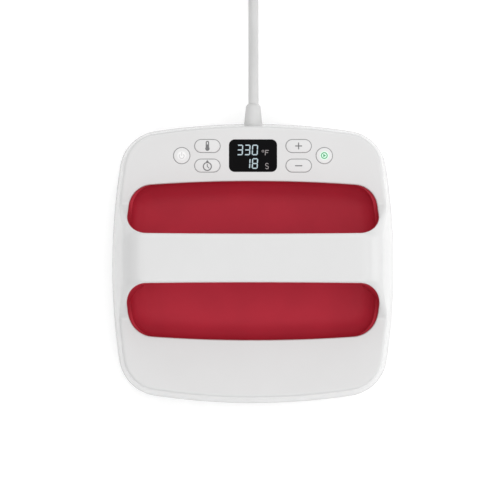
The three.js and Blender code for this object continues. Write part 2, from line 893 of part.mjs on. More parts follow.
function thermalCutout() {
  const body = rod(cutout.x, cutout.y, elementZ, cutout.radius, cutout.height);
  return body.add(
    rod(
      cutout.x,
      cutout.y,
      elementZ + cutout.height / 2,
      cutout.capRadius,
      cutout.height / 2 + cutout.capHeight,
    ),
  );
}

// A pan-head screw with its seat at z, its head on the side that up points to
function screwSolid(x, y, z, length, up) {
  const headZ = up > 0 ? z + gap : z - gap - screw.headHeight;
  const shankZ = up > 0 ? z + gap - length : z - gap - screw.headHeight / 2;
  const shank = rod(x, y, shankZ, screw.radius, length + screw.headHeight / 2, arcSteps.bore);
  return rod(x, y, headZ, screw.headRadius, screw.headHeight).add(shank);
}

const trayZ = shieldTop + gap;
const supplyZ = trayZ + tray.thickness + trayPost.height + gap;
const partsZ = supplyZ + supply.thickness + gap;

function boardTray() {
  const { x, y, width, depth, thickness } = tray;
  const posts = signs.map(([sx, sy]) =>
    rod(
      x + sx * (width / 2 - trayPost.inset),
      y + sy * (depth / 2 - trayPost.inset),
      trayZ + thickness / 2,
      trayPost.radius,
      thickness / 2 + trayPost.height,
    ),
  );
  return join([box(x, y, trayZ, width, depth, thickness), ...posts]);
}

function transformerSolid() {
  const { x, y, width, depth, height, coreWidth } = transformer;
  const core = box(x, y, partsZ, coreWidth, depth, height);
  return core.add(box(x, y, partsZ, width, depth - coreWidth / 2, height - coreWidth / 4));
}

function capacitorSolid() {
  const { x, y, radius, height, groove, grooveZ } = capacitor;
  const profile = [
    [0, 0],
    [radius - groove, 0],
    [radius, groove],
    [radius, grooveZ - groove],
    [radius - groove, grooveZ],
    [radius, grooveZ + groove],
    [radius, height - groove],
    [radius - groove, height],
    [0, height],
  ].map(([r, z]) => new Vector2(r, z));
  const can = new THREE.LatheGeometry(profile, arcSteps.rod).rotateX(quarterTurn);
  return asSolid(can.translate(x, y, partsZ));
}

function heatSink() {
  const { x, y, width, base, finHeight, fin, fins, depth } = sink;
  const plates = [box(x, y, partsZ, width, depth, base)];
  for (let i = 0; i < fins; i++) {
    const finX = x - width / 2 + fin / 2 + (i * (width - fin)) / (fins - 1);
    plates.push(box(finX, y, partsZ + base / 2, fin, depth, base / 2 + finHeight));
  }
  return join(plates);
}

function terminalBlock() {
  const { x, y, width, depth, height, ways, boreRadius } = terminal;
  const body = box(x, y, partsZ, width, depth, height);
  const bores = [];
  for (let way = 0; way < ways; way++) {
    const wayX = x + ((way - (ways - 1) / 2) * width) / ways;
    bores.push(
      prismAlongY(
        roundOutline(boreRadius, wayX, partsZ + height / 2 - boreRadius / 2),
        y,
        depth / 2 + overrun,
      ),
      rod(wayX, y, partsZ + height - boreRadius, boreRadius, boreRadius + overrun, arcSteps.bore),
    );
  }
  return cut(body, bores);
}

function keySolid({ u, v, outline, size }) {
  const level = (grow, w) => outline(size + grow, u, v).map((p) => new Vector3(p.x, p.y, w));
  const cap = loft([level(0, -key.body), level(0, key.proud - key.edge), level(-key.edge, key.proud)]);
  const flange = prism(outline(size + key.flangeReach, u, v), -key.body, key.flange);
  const stemFoot = switchTop - key.stemEnter;
  const stem = rod(u, v, stemFoot, key.stemRadius, key.flange - key.body - stemFoot);
  return join([cap, flange, stem]);
}

function switchSolid({ u, v }) {
  const body = box(u, v, boardTop + gap, keySwitch.side, keySwitch.side, keySwitch.height);
  const depth = key.stemEnter + key.travel + gap;
  const bore = rod(u, v, switchTop - depth, keySwitch.boreRadius, depth + overrun, arcSteps.bore);
  return body.subtract(bore);
}

const boardFoot = boardTop - board.thickness;

function buzzerSolid() {
  const { u, radius, height, portRadius, portDepth } = buzzer;
  const foot = boardFoot - gap - height;
  const port = rod(u, 0, foot - overrun, portRadius, overrun + portDepth, arcSteps.bore);
  return rod(u, 0, foot, radius, height).subtract(port);
}

// The lead's relief, turned about its axis: a barrel inside, a flange, and a taper outside the wall
const towerY = openingHalfDepth + opening.upstand + gap;
const flangeY = towerY + clamp.depth + gap;
const wallY = housing.depth / 2 - insetAt(relief.z);
const reliefEndY = wallY + relief.reach + relief.chamfer;

function strainRelief() {
  const tipY = reliefEndY - relief.chamfer;
  const profile = [
    [0, flangeY - relief.barrel],
    [relief.barrelRadius, flangeY - relief.barrel],
    [relief.barrelRadius, flangeY],
    [relief.flangeRadius, flangeY],
    [relief.flangeRadius, flangeY + relief.flange],
    [relief.wallRadius, flangeY + relief.flange],
    [relief.wallRadius, wallY],
    [relief.tipRadius, tipY],
    [relief.endRadius, reliefEndY],
    [0, reliefEndY],
  ].map(([r, y]) => new Vector2(r, y));
  const turned = new THREE.LatheGeometry(profile, 2 * arcSteps.rod);
  return asSolid(turned.translate(relief.x, 0, relief.z));
}

function cordClamp() {
  const middle = towerY + clamp.depth / 2;
  const body = box(relief.x, middle, relief.z, clamp.width, clamp.depth, clamp.topZ - relief.z);
  const bore = prismAlongY(
    roundOutline(relief.barrelRadius + gap, relief.x, relief.z),
    towerY - overrun,
    clamp.depth + 2 * overrun,
  );
  const screwBores = [-1, 1].map((side) =>
    rod(
      relief.x + side * clamp.screwPlace,
      middle,
      relief.z - overrun,
      screw.radius + gap,
      clamp.topZ,
      arcSteps.bore,
    ),
  );
  return cut(body, [bore, ...screwBores]);
}

// The lead and its coil

const turnPitch = 2 * cord.radius + coil.play;
const lowZ = tie.thickness + gap + cord.radius;
const highZ = lowZ + turnPitch;
const plugZ = gap + plug.halfHeight + tie.thickness;
const leadPoints = leadRoute.map(
  ([run, share]) => new Vector3(relief.x, reliefEndY + gap + run, lowZ + (relief.z - lowZ) * share),
);
const leadPath = new THREE.CatmullRomCurve3(leadPoints);
const leadLength = leadPath.getLength();
const leadEnd = leadPoints.at(-1);

function mainsLead() {
  const section = new THREE.Shape(arcPoints(0, 0, cord.radius, 0, fullTurn, cord.sides));
  const steps = Math.round(leadLength / cord.stepLength);
  return asSolid(new THREE.ExtrudeGeometry(section, { steps, extrudePath: leadPath, bevelEnabled: false }));
}

const coilStartY = leadEnd.y + gap;
const coilFrontY = leadEnd.y - coil.frontInset;
const spread = (turnPitch * coil.turns) / 4;
const fixedRuns = leadLength + coil.tail + coilFrontY + cord.radius + spread - coilStartY;
const meanRadius = (cord.length - fixedRuns) / (fullTurn * coil.turns + 1);
const outerRadius = meanRadius + spread;
const innerRadius = meanRadius - spread;
const coilX = relief.x - outerRadius;
const coilY = coilFrontY + cord.radius + outerRadius;
const tailX = coilX - coil.tail;

// The coil's centre line: straight in, spiralling in along the floor, up a layer in the half turn where
// the spiral reverses, spiralling out again, and off on a straight tail to the plug
function coilPath() {
  const middle = (coil.turns * fullTurn) / 2;
  const points = [new Vector3(relief.x, coilStartY, lowZ)];
  const steps = Math.round(coil.turns * coil.loopSteps);
  for (let i = 0; i <= steps; i++) {
    const angle = (coil.turns * fullTurn * i) / steps;
    const radius = innerRadius + (turnPitch * Math.abs(angle - middle)) / fullTurn;
    const climb = THREE.MathUtils.smoothstep(angle, middle - quarterTurn, middle + quarterTurn);
    points.push(
      new Vector3(
        coilX + radius * Math.cos(angle),
        coilY + radius * Math.sin(angle),
        lowZ + (highZ - lowZ) * climb,
      ),
    );
  }
  const tailY = points.at(-1).y;
  const straight = 2 * cord.radius;
  const falling = coil.tail - 2 * straight;
  for (let i = 0; i <= arcSteps.round; i++) {
    const share = i / arcSteps.round;
    const fall = THREE.MathUtils.smoothstep(share, 0, 1);
    points.push(new Vector3(coilX - straight - falling * share, tailY, highZ + (plugZ - highZ) * fall));
  }
  points.push(new Vector3(tailX, tailY, plugZ));
  return points;
}

function leastGap(points) {
  const apart = coil.loopSteps / 2;
  let least = Infinity;
  points.forEach((p, i) => {
    for (const q of points.slice(i + apart)) least = Math.min(least, p.distanceTo(q));
  });
  return least - 2 * cord.radius;
}

function coilSolid(points) {
  const up = new Vector3(0, 0, 1);
  const rings = points.map((p, i) => {
    const before = points[Math.max(i - 1, 0)];
    const after = points[Math.min(i + 1, points.length - 1)];
    const ahead = after.clone().sub(before).normalize();
    const across = ahead.clone().cross(up).normalize();
    const rise = across.clone().cross(ahead);
    return arcPoints(0, 0, cord.radius, quarterTurn, quarterTurn + fullTurn, coil.sides).map((q) =>
      p.clone().addScaledVector(across, q.x).addScaledVector(rise, q.y),
    );
  });
  const count = coil.sides;
  const last = (rings.length - 1) * count;
  const faces = [];
  for (let start = 0; start < last; start += count) {
    for (let i = 0; i < count; i++) {
      const a = start + i;
      const b = start + ((i + 1) % count);
      faces.push(a, b + count, b, a, a + count, b + count);
    }
  }
  for (let i = 2; i < count; i++) {
    faces.push(0, i - 1, i);
    faces.push(last, last + i, last + i - 1);
  }
  return asSolid(new THREE.BufferGeometry().setFromPoints(rings.flat()).setIndex(faces));
}

function coilTie() {
  const inner = innerRadius + tie.innerTurn * turnPitch - cord.radius - tie.play;
  const outer = innerRadius + tie.outerTurn * turnPitch + cord.radius + tie.play;
  const foot = tie.thickness;
  const top = highZ + cord.radius + gap;
  const middle = [(inner + outer) / 2, (top + foot) / 2];
  const hole = roundedRectangle(outer - inner, top - foot, cord.radius, ...middle);
  const band = roundedRectangle(
    outer - inner + 2 * tie.thickness,
    top - foot + 2 * tie.thickness,
    cord.radius + tie.thickness,
    ...middle,
  );
  const loop = prism(band, -tie.width / 2, tie.width).subtract(
    prism(hole, -tie.width / 2 - overrun, tie.width + 2 * overrun),
  );
  const radial = new Vector3(Math.cos(tie.angle), Math.sin(tie.angle), 0);
  const up = new Vector3(0, 0, 1);
  const place = new Matrix4()
    .makeBasis(radial, up, radial.clone().cross(up))
    .setPosition(coilX, coilY, 0);
  return loop.transform(place.elements);
}

const coilPoints = coilPath();
console.log("least gap in the coil:", leastGap(coilPoints).toFixed(2), "mm");

// The plug, in its own frame: +Z out of its face, placed where the tail ends
const plugFrame = new Matrix4()
  .makeBasis(new Vector3(0, -1, 0), new Vector3(0, 0, 1), new Vector3(-1, 0, 0))
  .setPosition(tailX - gap, coilPoints.at(-1).y, plugZ);
const faceZ = plug.neck + plug.length;

function ovalRing(halfWidth, halfHeight, power, z) {
  const bend = (value) => Math.sign(value) * Math.abs(value) ** (2 / power);
  return arcPoints(0, 0, 1, 0, fullTurn, 2 * arcSteps.rod).map(
    (p) => new Vector3(halfWidth * bend(p.x), halfHeight * bend(p.y), z),
  );
}

function plugBody() {
  const { neckRadius, neck, halfWidth, halfHeight, faceInset, roundPower, shoulderPower, bodyPower } = plug;
  const shoulder = (halfWidth - neckRadius) / 2;
  return loft([
    ovalRing(cord.radius + gap, cord.radius + gap, roundPower, 0),
    ovalRing(neckRadius, neckRadius, roundPower, neck),
    ovalRing(neckRadius + shoulder, neckRadius + shoulder, shoulderPower, neck + shoulder),
    ovalRing(halfWidth, halfHeight, bodyPower, neck + 3 * shoulder),
    ovalRing(halfWidth, halfHeight, bodyPower, faceZ - faceInset),
    ovalRing(halfWidth - faceInset, halfHeight - faceInset, bodyPower, faceZ),
  ]);
}

function plugBlade(side) {
  const x = (side * plug.bladeSpacing) / 2;
  const shank = plug.bladeLength - plug.tip;
  const blade = box(x, plug.bladeRise, faceZ + gap, plug.bladeThickness, plug.bladeWidth, shank);
  const nose = box(
    x,
    plug.bladeRise,
    faceZ + gap + shank / 2,
    plug.bladeThickness,
    plug.bladeWidth - 2 * plug.tip,
    plug.bladeLength - shank / 2,
  );
  return blade.add(nose);
}

function plugPin() {
  const { pinRadius, pinLength, pinDrop, tip } = plug;
  const profile = [
    [0, 0],
    [pinRadius, 0],
    [pinRadius, pinLength - tip],
    [pinRadius - tip, pinLength],
    [0, pinLength],
  ].map(([r, z]) => new Vector2(r, z));
  const pin = new THREE.LatheGeometry(profile, arcSteps.rod).rotateX(quarterTurn);
  return asSolid(pin.translate(0, -pinDrop, faceZ + gap));
}

const onPlug = (solid) => solid.transform(plugFrame.elements);

piece("top_cover", topCover(), finishes.white);
piece("grip_lower_shell", gripLowerShell(), finishes.crimson);
piece("hand_well", handWell(), finishes.crimson);
piece("base_housing", baseHousing(), finishes.white);

piece("heat_plate", heatPlate(), finishes.aluminium);
piece("heating_element", heatingElement(), finishes.mica);
piece("insulation_mat", insulationMat(), finishes.fibre);
piece("heat_shield", heatShield(), finishes.galvanised);
piece(
  "thermistor",
  box(probe.x, probe.y, elementZ, probe.width, probe.depth, probe.height),
  finishes.steel,
);
piece("thermal_cutout", thermalCutout(), finishes.black);

piece("board_tray", boardTray(), finishes.black);
piece(
  "power_board",
  box(tray.x, tray.y, supplyZ, supply.width, supply.depth, supply.thickness),
  finishes.board,
);
piece("relay", box(relay.x, relay.y, partsZ, relay.width, relay.depth, relay.height), finishes.blue);
piece("transformer", transformerSolid(), finishes.yellow);
piece("capacitor", capacitorSolid(), finishes.black);
piece("triac_heat_sink", heatSink(), finishes.aluminium);
piece("terminal_block", terminalBlock(), finishes.black);

const lensOutline = roundedRectangle(lens.width, lens.height, lens.corner);
piece("display_window", prism(lensOutline, -lens.thickness, lens.thickness), finishes.lens, panelFrame);
const displayTop = -housing.wall - gap;
piece(
  "display_module",
  box(0, 0, boardTop + gap, display.width, display.height, displayTop - boardTop - gap),
  finishes.black,
  panelFrame,
);
piece(
  "control_board",
  box(0, 0, boardFoot, board.width, board.height, board.thickness),
  finishes.board,
  panelFrame,
);
piece("buzzer", buzzerSolid(), finishes.black, panelFrame);
for (const one of keys) {
  piece("key_" + one.name, keySolid(one), finishes.keyWhite, panelFrame);
  piece("switch_" + one.name, switchSolid(one), finishes.black, panelFrame);
}

// Fasteners, one mesh each
housingBosses.forEach(([x, y], i) => {
  const seatZ = housing.footZ + 2 * housing.wall;
  const length = housing.seamZ + housing.screwEntry - seatZ;
  piece("housing_screw_" + (i + 1), screwSolid(x, y, seatZ, length, -1), finishes.steel);
});
tabs.forEach(({ x, y }, i) => {
  const length = opening.upstandTop - housing.footZ - 2 * housing.wall;
  piece("shield_screw_" + (i + 1), screwSolid(x, y, shieldTop, length, 1), finishes.steel);
});
bossPlaces.forEach(([x, y], i) => {
  piece("plate_screw_" + (i + 1), screwSolid(x, y, shieldTop, plate.height, 1), finishes.steel);
});
[-1, 1].forEach((side, i) => {
  const seatZ = undersideZ + screw.headHeight + gap;
  const length = handle.topZ - 3 * housing.wall - seatZ;
  piece(
    "grip_screw_" + (i + 1),
    screwSolid(side * gripScrewX, 0, seatZ, length, -1),
    finishes.steel,
  );
  const clampX = relief.x + side * clamp.screwPlace;
  const clampLength = clamp.topZ - relief.z + clamp.screwEntry;
  piece(
    "clamp_screw_" + (i + 1),
    screwSolid(clampX, towerY + clamp.depth / 2, clamp.topZ, clampLength, 1),
    finishes.steel,
  );
});

piece("strain_relief", strainRelief(), finishes.cordWhite);
piece("cord_clamp", cordClamp(), finishes.black);
piece("mains_lead", mainsLead(), finishes.cordWhite);
piece("cord_coil", coilSolid(coilPoints), finishes.cordWhite);
piece("coil_tie", coilTie(), finishes.black);
piece("plug_body", onPlug(plugBody()), finishes.cordWhite);
piece("plug_blade_left", onPlug(plugBlade(-1)), finishes.brass);
piece("plug_blade_right", onPlug(plugBlade(1)), finishes.brass);
piece("plug_ground_pin", onPlug(plugPin()), finishes.brass);

export default press;
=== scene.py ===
import bpy, bmesh, json, math
from mathutils import Matrix, Vector


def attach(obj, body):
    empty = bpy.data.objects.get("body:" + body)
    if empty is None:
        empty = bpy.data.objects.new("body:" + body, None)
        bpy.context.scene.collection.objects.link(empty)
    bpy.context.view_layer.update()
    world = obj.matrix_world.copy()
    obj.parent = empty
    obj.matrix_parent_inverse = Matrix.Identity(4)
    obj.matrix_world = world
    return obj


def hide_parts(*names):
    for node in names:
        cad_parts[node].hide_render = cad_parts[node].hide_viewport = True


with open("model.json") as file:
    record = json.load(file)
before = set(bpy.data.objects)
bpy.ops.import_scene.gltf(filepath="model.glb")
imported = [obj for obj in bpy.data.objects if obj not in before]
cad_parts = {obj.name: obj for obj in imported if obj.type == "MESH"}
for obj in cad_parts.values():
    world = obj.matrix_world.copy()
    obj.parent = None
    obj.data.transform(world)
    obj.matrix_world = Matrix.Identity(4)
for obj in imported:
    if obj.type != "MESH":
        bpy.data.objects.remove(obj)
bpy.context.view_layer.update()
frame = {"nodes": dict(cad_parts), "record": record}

# Everything is modelled in millimetres, and brought to metres when its mesh is finished.
mm = 0.001
up = Vector((0, 0, 1))
quarterTurn = math.pi / 2
fullTurn = 2 * math.pi

camera = {
    "place": (-2.9, -84.3, 1663),
    "tilt": 3.4,  # degrees off straight down, towards the rear
    "focalPixels": 1663,
    "imagePixels": 500,
    "sensor": 36,
}


def makeCamera():
    data = bpy.data.cameras.new("photoCamera")
    data.sensor_fit = "HORIZONTAL"
    data.sensor_width = camera["sensor"]
    data.lens = camera["focalPixels"] / camera["imagePixels"] * camera["sensor"]
    data.clip_start = 0.05
    data.clip_end = 20
    eye = bpy.data.objects.new("photoCamera", data)
    eye.location = Vector(camera["place"]) * mm
    eye.rotation_euler = (math.radians(camera["tilt"]), 0, 0)
    bpy.context.collection.objects.link(eye)
    bpy.context.scene.camera = eye


makeCamera()
print("camera set")


# Materials

class Shade:
    # one shader socket, so that sums on it read as plain expressions
    def __init__(self, finish, socket):
        self.finish = finish
        self.socket = socket

    def sum(self, operation, first, second):
        made = self.finish.node("ShaderNodeMath", {"operation": operation}, {0: first, 1: second})
        return Shade(self.finish, made.outputs[0])

    def __add__(self, other):
        return self.sum("ADD", self, other)

    def __sub__(self, other):
        return self.sum("SUBTRACT", self, other)

    def __rsub__(self, other):
        return self.sum("SUBTRACT", other, self)

    def __mul__(self, other):
        return self.sum("MULTIPLY", self, other)

    __radd__ = __add__
    __rmul__ = __mul__


class Finish:
    # one material: its nodes are added by node(), and set() fills the sockets of its shader
    def __init__(self, name, color, roughness, metallic=0.0, **values):
        self.material = bpy.data.materials.new(name)
        self.material.use_nodes = True
        self.nodes = self.material.node_tree.nodes
        self.links = self.material.node_tree.links
        self.shader = next(n for n in self.nodes if n.type == "BSDF_PRINCIPLED")
        self.set(**{"Base Color": (*color, 1), "Roughness": roughness, "Metallic": metallic}, **values)

    def plug(self, socket, value):
        if isinstance(value, Shade):
            value = value.socket
        if isinstance(value, bpy.types.NodeSocket):
            self.links.new(value, socket)
        else:
            socket.default_value = value

    def node(self, kind, settings=None, sockets=None):
        made = self.nodes.new(kind)
        for name, value in (settings or {}).items():
            if name == "stops":
                for stop, (place, shade) in zip(made.color_ramp.elements, value):
                    stop.position = place
                    stop.color = (shade, shade, shade, 1)
            else:
                setattr(made, name, value)
        for name, value in (sockets or {}).items():
            self.plug(made.inputs[name], value)
        return made

    def set(self, **values):
        for name, value in values.items():
            self.plug(self.shader.inputs[name], value)

    def place(self, scale=(1, 1, 1)):
        # Object coordinates in millimetres
        at = self.node("ShaderNodeTexCoord").outputs["Object"]
        size = [s / mm for s in scale]
        return self.node("ShaderNodeMapping", None, {"Vector": at, "Scale": size}).outputs[0]

    def noise(self, size, detail=2.0, scale=(1, 1, 1)):
        # cloudy noise from 0 to 1, with features about size millimetres across
        made = self.node(
            "ShaderNodeTexNoise",
            None,
            {"Vector": self.place(scale), "Scale": 1 / size, "Detail": detail},
        )
        return Shade(self, made.outputs["Fac"])

    def ramp(self, value, low, high, dark=0.0, light=1.0):
        made = self.node(
            "ShaderNodeValToRGB", {"stops": [(low, dark), (high, light)]}, {"Fac": value}
        )
        return Shade(self, made.outputs[0])

    def mix(self, share, first, second):
        made = self.node("ShaderNodeMix", {"data_type": "RGBA"}, {"Factor": share})
        self.plug(made.inputs[6], (*first, 1) if isinstance(first, tuple) else first)
        self.plug(made.inputs[7], (*second, 1) if isinstance(second, tuple) else second)
        return made.outputs[2]

    def bump(self, height, depth):
        # depth is how far the surface moves, in millimetres
        made = self.node(
            "ShaderNodeBump", None, {"Height": height, "Distance": depth * mm, "Strength": 1.0}
        )
        self.set(Normal=made.outputs["Normal"])


def mouldedPlastic(name, color, roughness, grain, depth, drift=0.03, shine=0.5):
    # moulded plastic: cloudy colour, uneven gloss, and the mould's fine grain
    finish = Finish(name, color, roughness, **{"Specular IOR Level": shine})
    cloud = finish.noise(38, 3)
    shaded = tuple(c * (1 - 2 * drift) for c in color)
    finish.set(**{"Base Color": finish.mix(finish.ramp(cloud, 0.35, 0.7), shaded, color)})
    finish.set(Roughness=roughness + (finish.noise(9, 4) - 0.5) * (0.35 * roughness))
    finish.bump(finish.noise(grain, 3), depth)
    return finish.material


def metal(name, color, roughness, brushed=(1, 1, 1), grain=0.6, depth=0.004):
    finish = Finish(name, color, roughness, 1.0)
    streaks = finish.noise(grain, 4, brushed)
    worn = tuple(c * 0.82 for c in color)
    finish.set(**{"Base Color": finish.mix(finish.ramp(finish.noise(24, 3), 0.3, 0.75), worn, color)})
    finish.set(Roughness=roughness + (streaks - 0.5) * 0.22)
    finish.bump(streaks, depth)
    return finish.material


def feltedFibre():
    finish = Finish("ceramicFibre", (0.8, 0.76, 0.66), 0.95)
    tangle = finish.noise(0.9, 8, (1, 0.25, 1))
    finish.set(**{"Base Color": finish.mix(tangle, (0.6, 0.55, 0.44), (0.86, 0.83, 0.75))})
    finish.bump(tangle, 0.3)
    return finish.material


def micaFoil():
    # mica sheet with the resistance foil's tracks pressed through it
    finish = Finish("micaFoil", (0.42, 0.24, 0.1), 0.45)
    flakes = finish.noise(5, 6)
    finish.set(**{"Base Color": finish.mix(flakes, (0.3, 0.16, 0.06), (0.62, 0.42, 0.2))})
    finish.set(Roughness=0.3 + flakes * 0.35)
    finish.bump(flakes, 0.08)
    return finish.material


def circuitBoard():
    # a green mask over copper tracks, which show as paler lines
    finish = Finish("circuitBoard", (0.02, 0.14, 0.06), 0.35)
    tracks = finish.node(
        "ShaderNodeTexBrick",
        {"offset": 0.5},
        {
            "Vector": finish.place(),
            "Scale": 0.35,
            "Mortar Size": 0.12,
            "Color1": (0, 0, 0, 1),
            "Color2": (0, 0, 0, 1),
            "Mortar": (1, 1, 1, 1),
        },
    )
    line = Shade(finish, tracks.outputs["Fac"])
    finish.set(**{"Base Color": finish.mix(line * 0.7, (0.015, 0.12, 0.05), (0.05, 0.26, 0.1))})
    finish.set(Roughness=0.38 - line * 0.12)
    finish.bump(line, 0.03)
    return finish.material


def wovenStrap():
    finish = Finish("wovenStrap", (0.03, 0.03, 0.032), 0.85)
    loops = finish.noise(0.5, 5)
    finish.set(**{"Base Color": finish.mix(loops, (0.012, 0.012, 0.013), (0.06, 0.06, 0.063))})
    finish.bump(loops, 0.25)
    return finish.material


def coatedSole():
    # the plate's non-stick coat: a warm grey with a fine fleck and long polishing marks
    finish = Finish("coatedSole", (0.3, 0.29, 0.28), 0.36, 0.75)
    fleck = finish.ramp(finish.noise(0.7, 2), 0.52, 0.66)
    finish.set(**{"Base Color": finish.mix(fleck, (0.23, 0.225, 0.22), (0.42, 0.41, 0.4))})
    finish.set(Roughness=0.3 + finish.noise(6, 4, (1, 0.12, 1)) * 0.2)
    finish.bump(fleck, 0.01)
    return finish.material


def glow(name, color, strength, body=(0.02, 0.02, 0.02)):
    # a lit sign: its light varies a little, as it does across a diffuser
    finish = Finish(name, body, 0.5)
    cloud = finish.noise(3, 2)
    finish.set(**{"Emission Color": finish.mix(cloud, tuple(c * 0.9 for c in color), color)})
    finish.set(**{"Emission Strength": strength})
    return finish.material


def smokedWindow():
    # black acrylic: nearly mirror smooth, with faint wiping marks
    finish = Finish("smokedWindow", (0.003, 0.003, 0.0034), 0.09, **{"Specular IOR Level": 0.04})
    marks = finish.noise(7, 5, (1, 0.3, 1))
    finish.set(Roughness=0.05 + marks * 0.09)
    finish.set(**{"Base Color": finish.mix(marks, (0.0022, 0.0022, 0.0025), (0.0038, 0.0038, 0.0042))})
    finish.bump(marks, 0.002)
    return finish.material


finishes = {
    "white_housing": mouldedPlastic("glossWhite", (0.665, 0.665, 0.665), 0.24, 0.9, 0.003, 0.008),
    "crimson_plastic": mouldedPlastic("crimsonPlastic", (0.477, 0.0235, 0.045), 0.42, 0.35, 0.02, 0.04, 0.12),
    "key_white": mouldedPlastic("keyWhite", (0.69, 0.69, 0.69), 0.3, 0.6, 0.003, 0.008),
    "lens_black": smokedWindow(),
    "cord_white": mouldedPlastic("whiteVinyl", (0.6, 0.6, 0.597), 0.45, 1.4, 0.03, 0.02, 0.3),
    "plate_aluminium": coatedSole(),
    "sink_aluminium": metal("extrudedAluminium", (0.6, 0.61, 0.62), 0.35, (0.1, 1, 1)),
    "screw_steel": metal("platedSteel", (0.5, 0.51, 0.52), 0.32),
    "galvanised_sheet": metal("galvanisedSheet", (0.42, 0.44, 0.45), 0.5, (1, 1, 1), 7, 0.01),
    "mica": micaFoil(),
    "ceramic_fibre": feltedFibre(),
    "circuit_board": circuitBoard(),
    "black_plastic": mouldedPlastic("blackPlastic", (0.02, 0.02, 0.022), 0.45, 0.4, 0.02, 0.1),
    "relay_blue": mouldedPlastic("relayBlue", (0.02, 0.06, 0.2), 0.4, 0.5, 0.01, 0.05),
    "winding_yellow": mouldedPlastic("windingTape", (0.65, 0.45, 0.05), 0.35, 2.0, 0.05, 0.06),
    "brass": metal("brightBrass", (0.72, 0.5, 0.2), 0.25, (1, 0.15, 1)),
    "tie_black": wovenStrap(),
}
signGrey = mouldedPlastic("signGrey", (0.16, 0.16, 0.165), 0.5, 0.3, 0.004, 0.03)
# a grey that stands in for the shade inside the gap round each key: painted shade
gapShadeGrey = mouldedPlastic("gapShadeGrey", (0.3, 0.3, 0.303), 0.7, 0.4, 0.01, 0.03, 0.3)
print("materials made")

bodyOfNode = {}
for bodyName, members in frame["record"]["behaviour"]["bodies"].items():
    for member in members:
        bodyOfNode[member] = bodyName
slotOfNode = {row["node"]: row["material_slot"] for row in frame["record"]["subparts"]}
for nodeName, nodeObject in frame["nodes"].items():
    nodeObject.data.materials.clear()
    nodeObject.data.materials.append(finishes[slotOfNode[nodeName]])


# Pieces

def asPiece(name, bm, slotName, body="press", replaced=(), material=None, sharp=35):
    # a finished bmesh becomes a piece of the object
    bmesh.ops.remove_doubles(bm, verts=bm.verts, dist=0.002)
    bmesh.ops.scale(bm, vec=(mm, mm, mm), verts=bm.verts)
    mesh = bpy.data.meshes.new(name)
    bm.to_mesh(mesh)
    bm.free()
    return dress(bpy.data.objects.new(name, mesh), slotName, body, replaced, material, sharp)


def dress(piece, slotName, body="press", replaced=(), material=None, sharp=35):
    if piece.name not in bpy.context.collection.objects:
        bpy.context.collection.objects.link(piece)
    if piece.type == "MESH":
        piece.data.materials.clear()
        piece.data.shade_smooth()
        piece.data.set_sharp_from_angle(angle=math.radians(sharp))
    piece.data.materials.append(material or finishes[slotName])
    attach(piece, body)
    if replaced:
        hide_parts(*replaced)
    return piece


def looseObject(name, bm):
    mesh = bpy.data.meshes.new(name)
    bm.to_mesh(mesh)
    bm.free()
    made = bpy.data.objects.new(name, mesh)
    bpy.context.collection.objects.link(made)
    return made


def carved(bm, cutters, operation="DIFFERENCE"):
    # the bmesh after each cutter, also a bmesh, has been taken out of it
    body = looseObject("carving", bm)
    tools = [looseObject("cutter", cutter) for cutter in cutters]
    for tool in tools:
        step = body.modifiers.new("cut", "BOOLEAN")
        step.operation = operation
        step.solver = "EXACT"
        step.use_self = operation == "UNION"
        step.object = tool
    shaped = body.evaluated_get(bpy.context.evaluated_depsgraph_get())
    result = bmesh.new()
    result.from_mesh(shaped.to_mesh())
    for one in [body, *tools]:
        bpy.data.objects.remove(one)
    return result


def growEdges(bm, edges, place):
    # extrudes a chain of edges, and moves each new vertex to where place says
    made = bmesh.ops.extrude_edge_only(bm, edges=edges)["geom"]
    fresh = {g for g in made if isinstance(g, bmesh.types.BMVert)}
    for vert in fresh:
        vert.co = place(vert.co)
    return [g for g in made if isinstance(g, bmesh.types.BMEdge) and fresh.issuperset(g.verts)]


def faceOut(bm):
    bmesh.ops.remove_doubles(bm, verts=bm.verts, dist=0.002)
    bmesh.ops.recalc_face_normals(bm, faces=bm.faces)


def roundedBlock(width, height, corner, low, high, edge=0.0, at=(0, 0), sides=12):
    # a block with rounded upright edges, and a rounded upper rim
    bm = bmesh.new()
    bmesh.ops.create_cube(bm, size=1)
    bmesh.ops.scale(bm, vec=(width, height, high - low), verts=bm.verts)
    upright = [e for e in bm.edges if abs(e.verts[0].co.z - e.verts[1].co.z) > 0.5 * (high - low)]
    bmesh.ops.bevel(bm, geom=upright, offset=corner, offset_type="OFFSET", affect="EDGES",
                    segments=sides, profile=0.5, material=-1)
    bmesh.ops.translate(bm, vec=(at[0], at[1], (high + low) / 2), verts=bm.verts)
    if edge:
        roundRim(bm, high, edge)
    return bm


def roundRim(bm, level, edge, segments=3):
    rim = [e for e in bm.edges if all(abs(v.co.z - level) < 0.01 for v in e.verts)]
    bmesh.ops.bevel(bm, geom=rim, offset=edge, offset_type="OFFSET", affect="EDGES",
                    segments=segments, profile=0.5, material=-1)


def discBlock(radius, low, high, edge=0.0, at=(0, 0), sides=72):
    bm = bmesh.new()
    bmesh.ops.create_cone(bm, cap_ends=True, segments=sides, radius1=radius, radius2=radius,
                          depth=high - low)
    bmesh.ops.translate(bm, vec=(at[0], at[1], (high + low) / 2), verts=bm.verts)
    if edge:
        roundRim(bm, high, edge)
    return bm


def turned(profile, middle, axis=(0, 1, 0), across=(1, 0, 0), sides=72):
    # a solid of revolution: profile is (radius, place along the axis)
    bm = bmesh.new()
    line = [bm.verts.new(Vector(middle) + Vector(across) * r + Vector(axis) * a) for r, a in profile]
    edges = [bm.edges.new(pair) for pair in zip(line, line[1:])]
    bmesh.ops.spin(bm, geom=line + edges, cent=middle, axis=axis, angle=fullTurn, steps=sides,
                   use_merge=True)
    faceOut(bm)
    return bm


# The mains lead: out of its relief, down to the floor, and wound into a coil that the tie holds

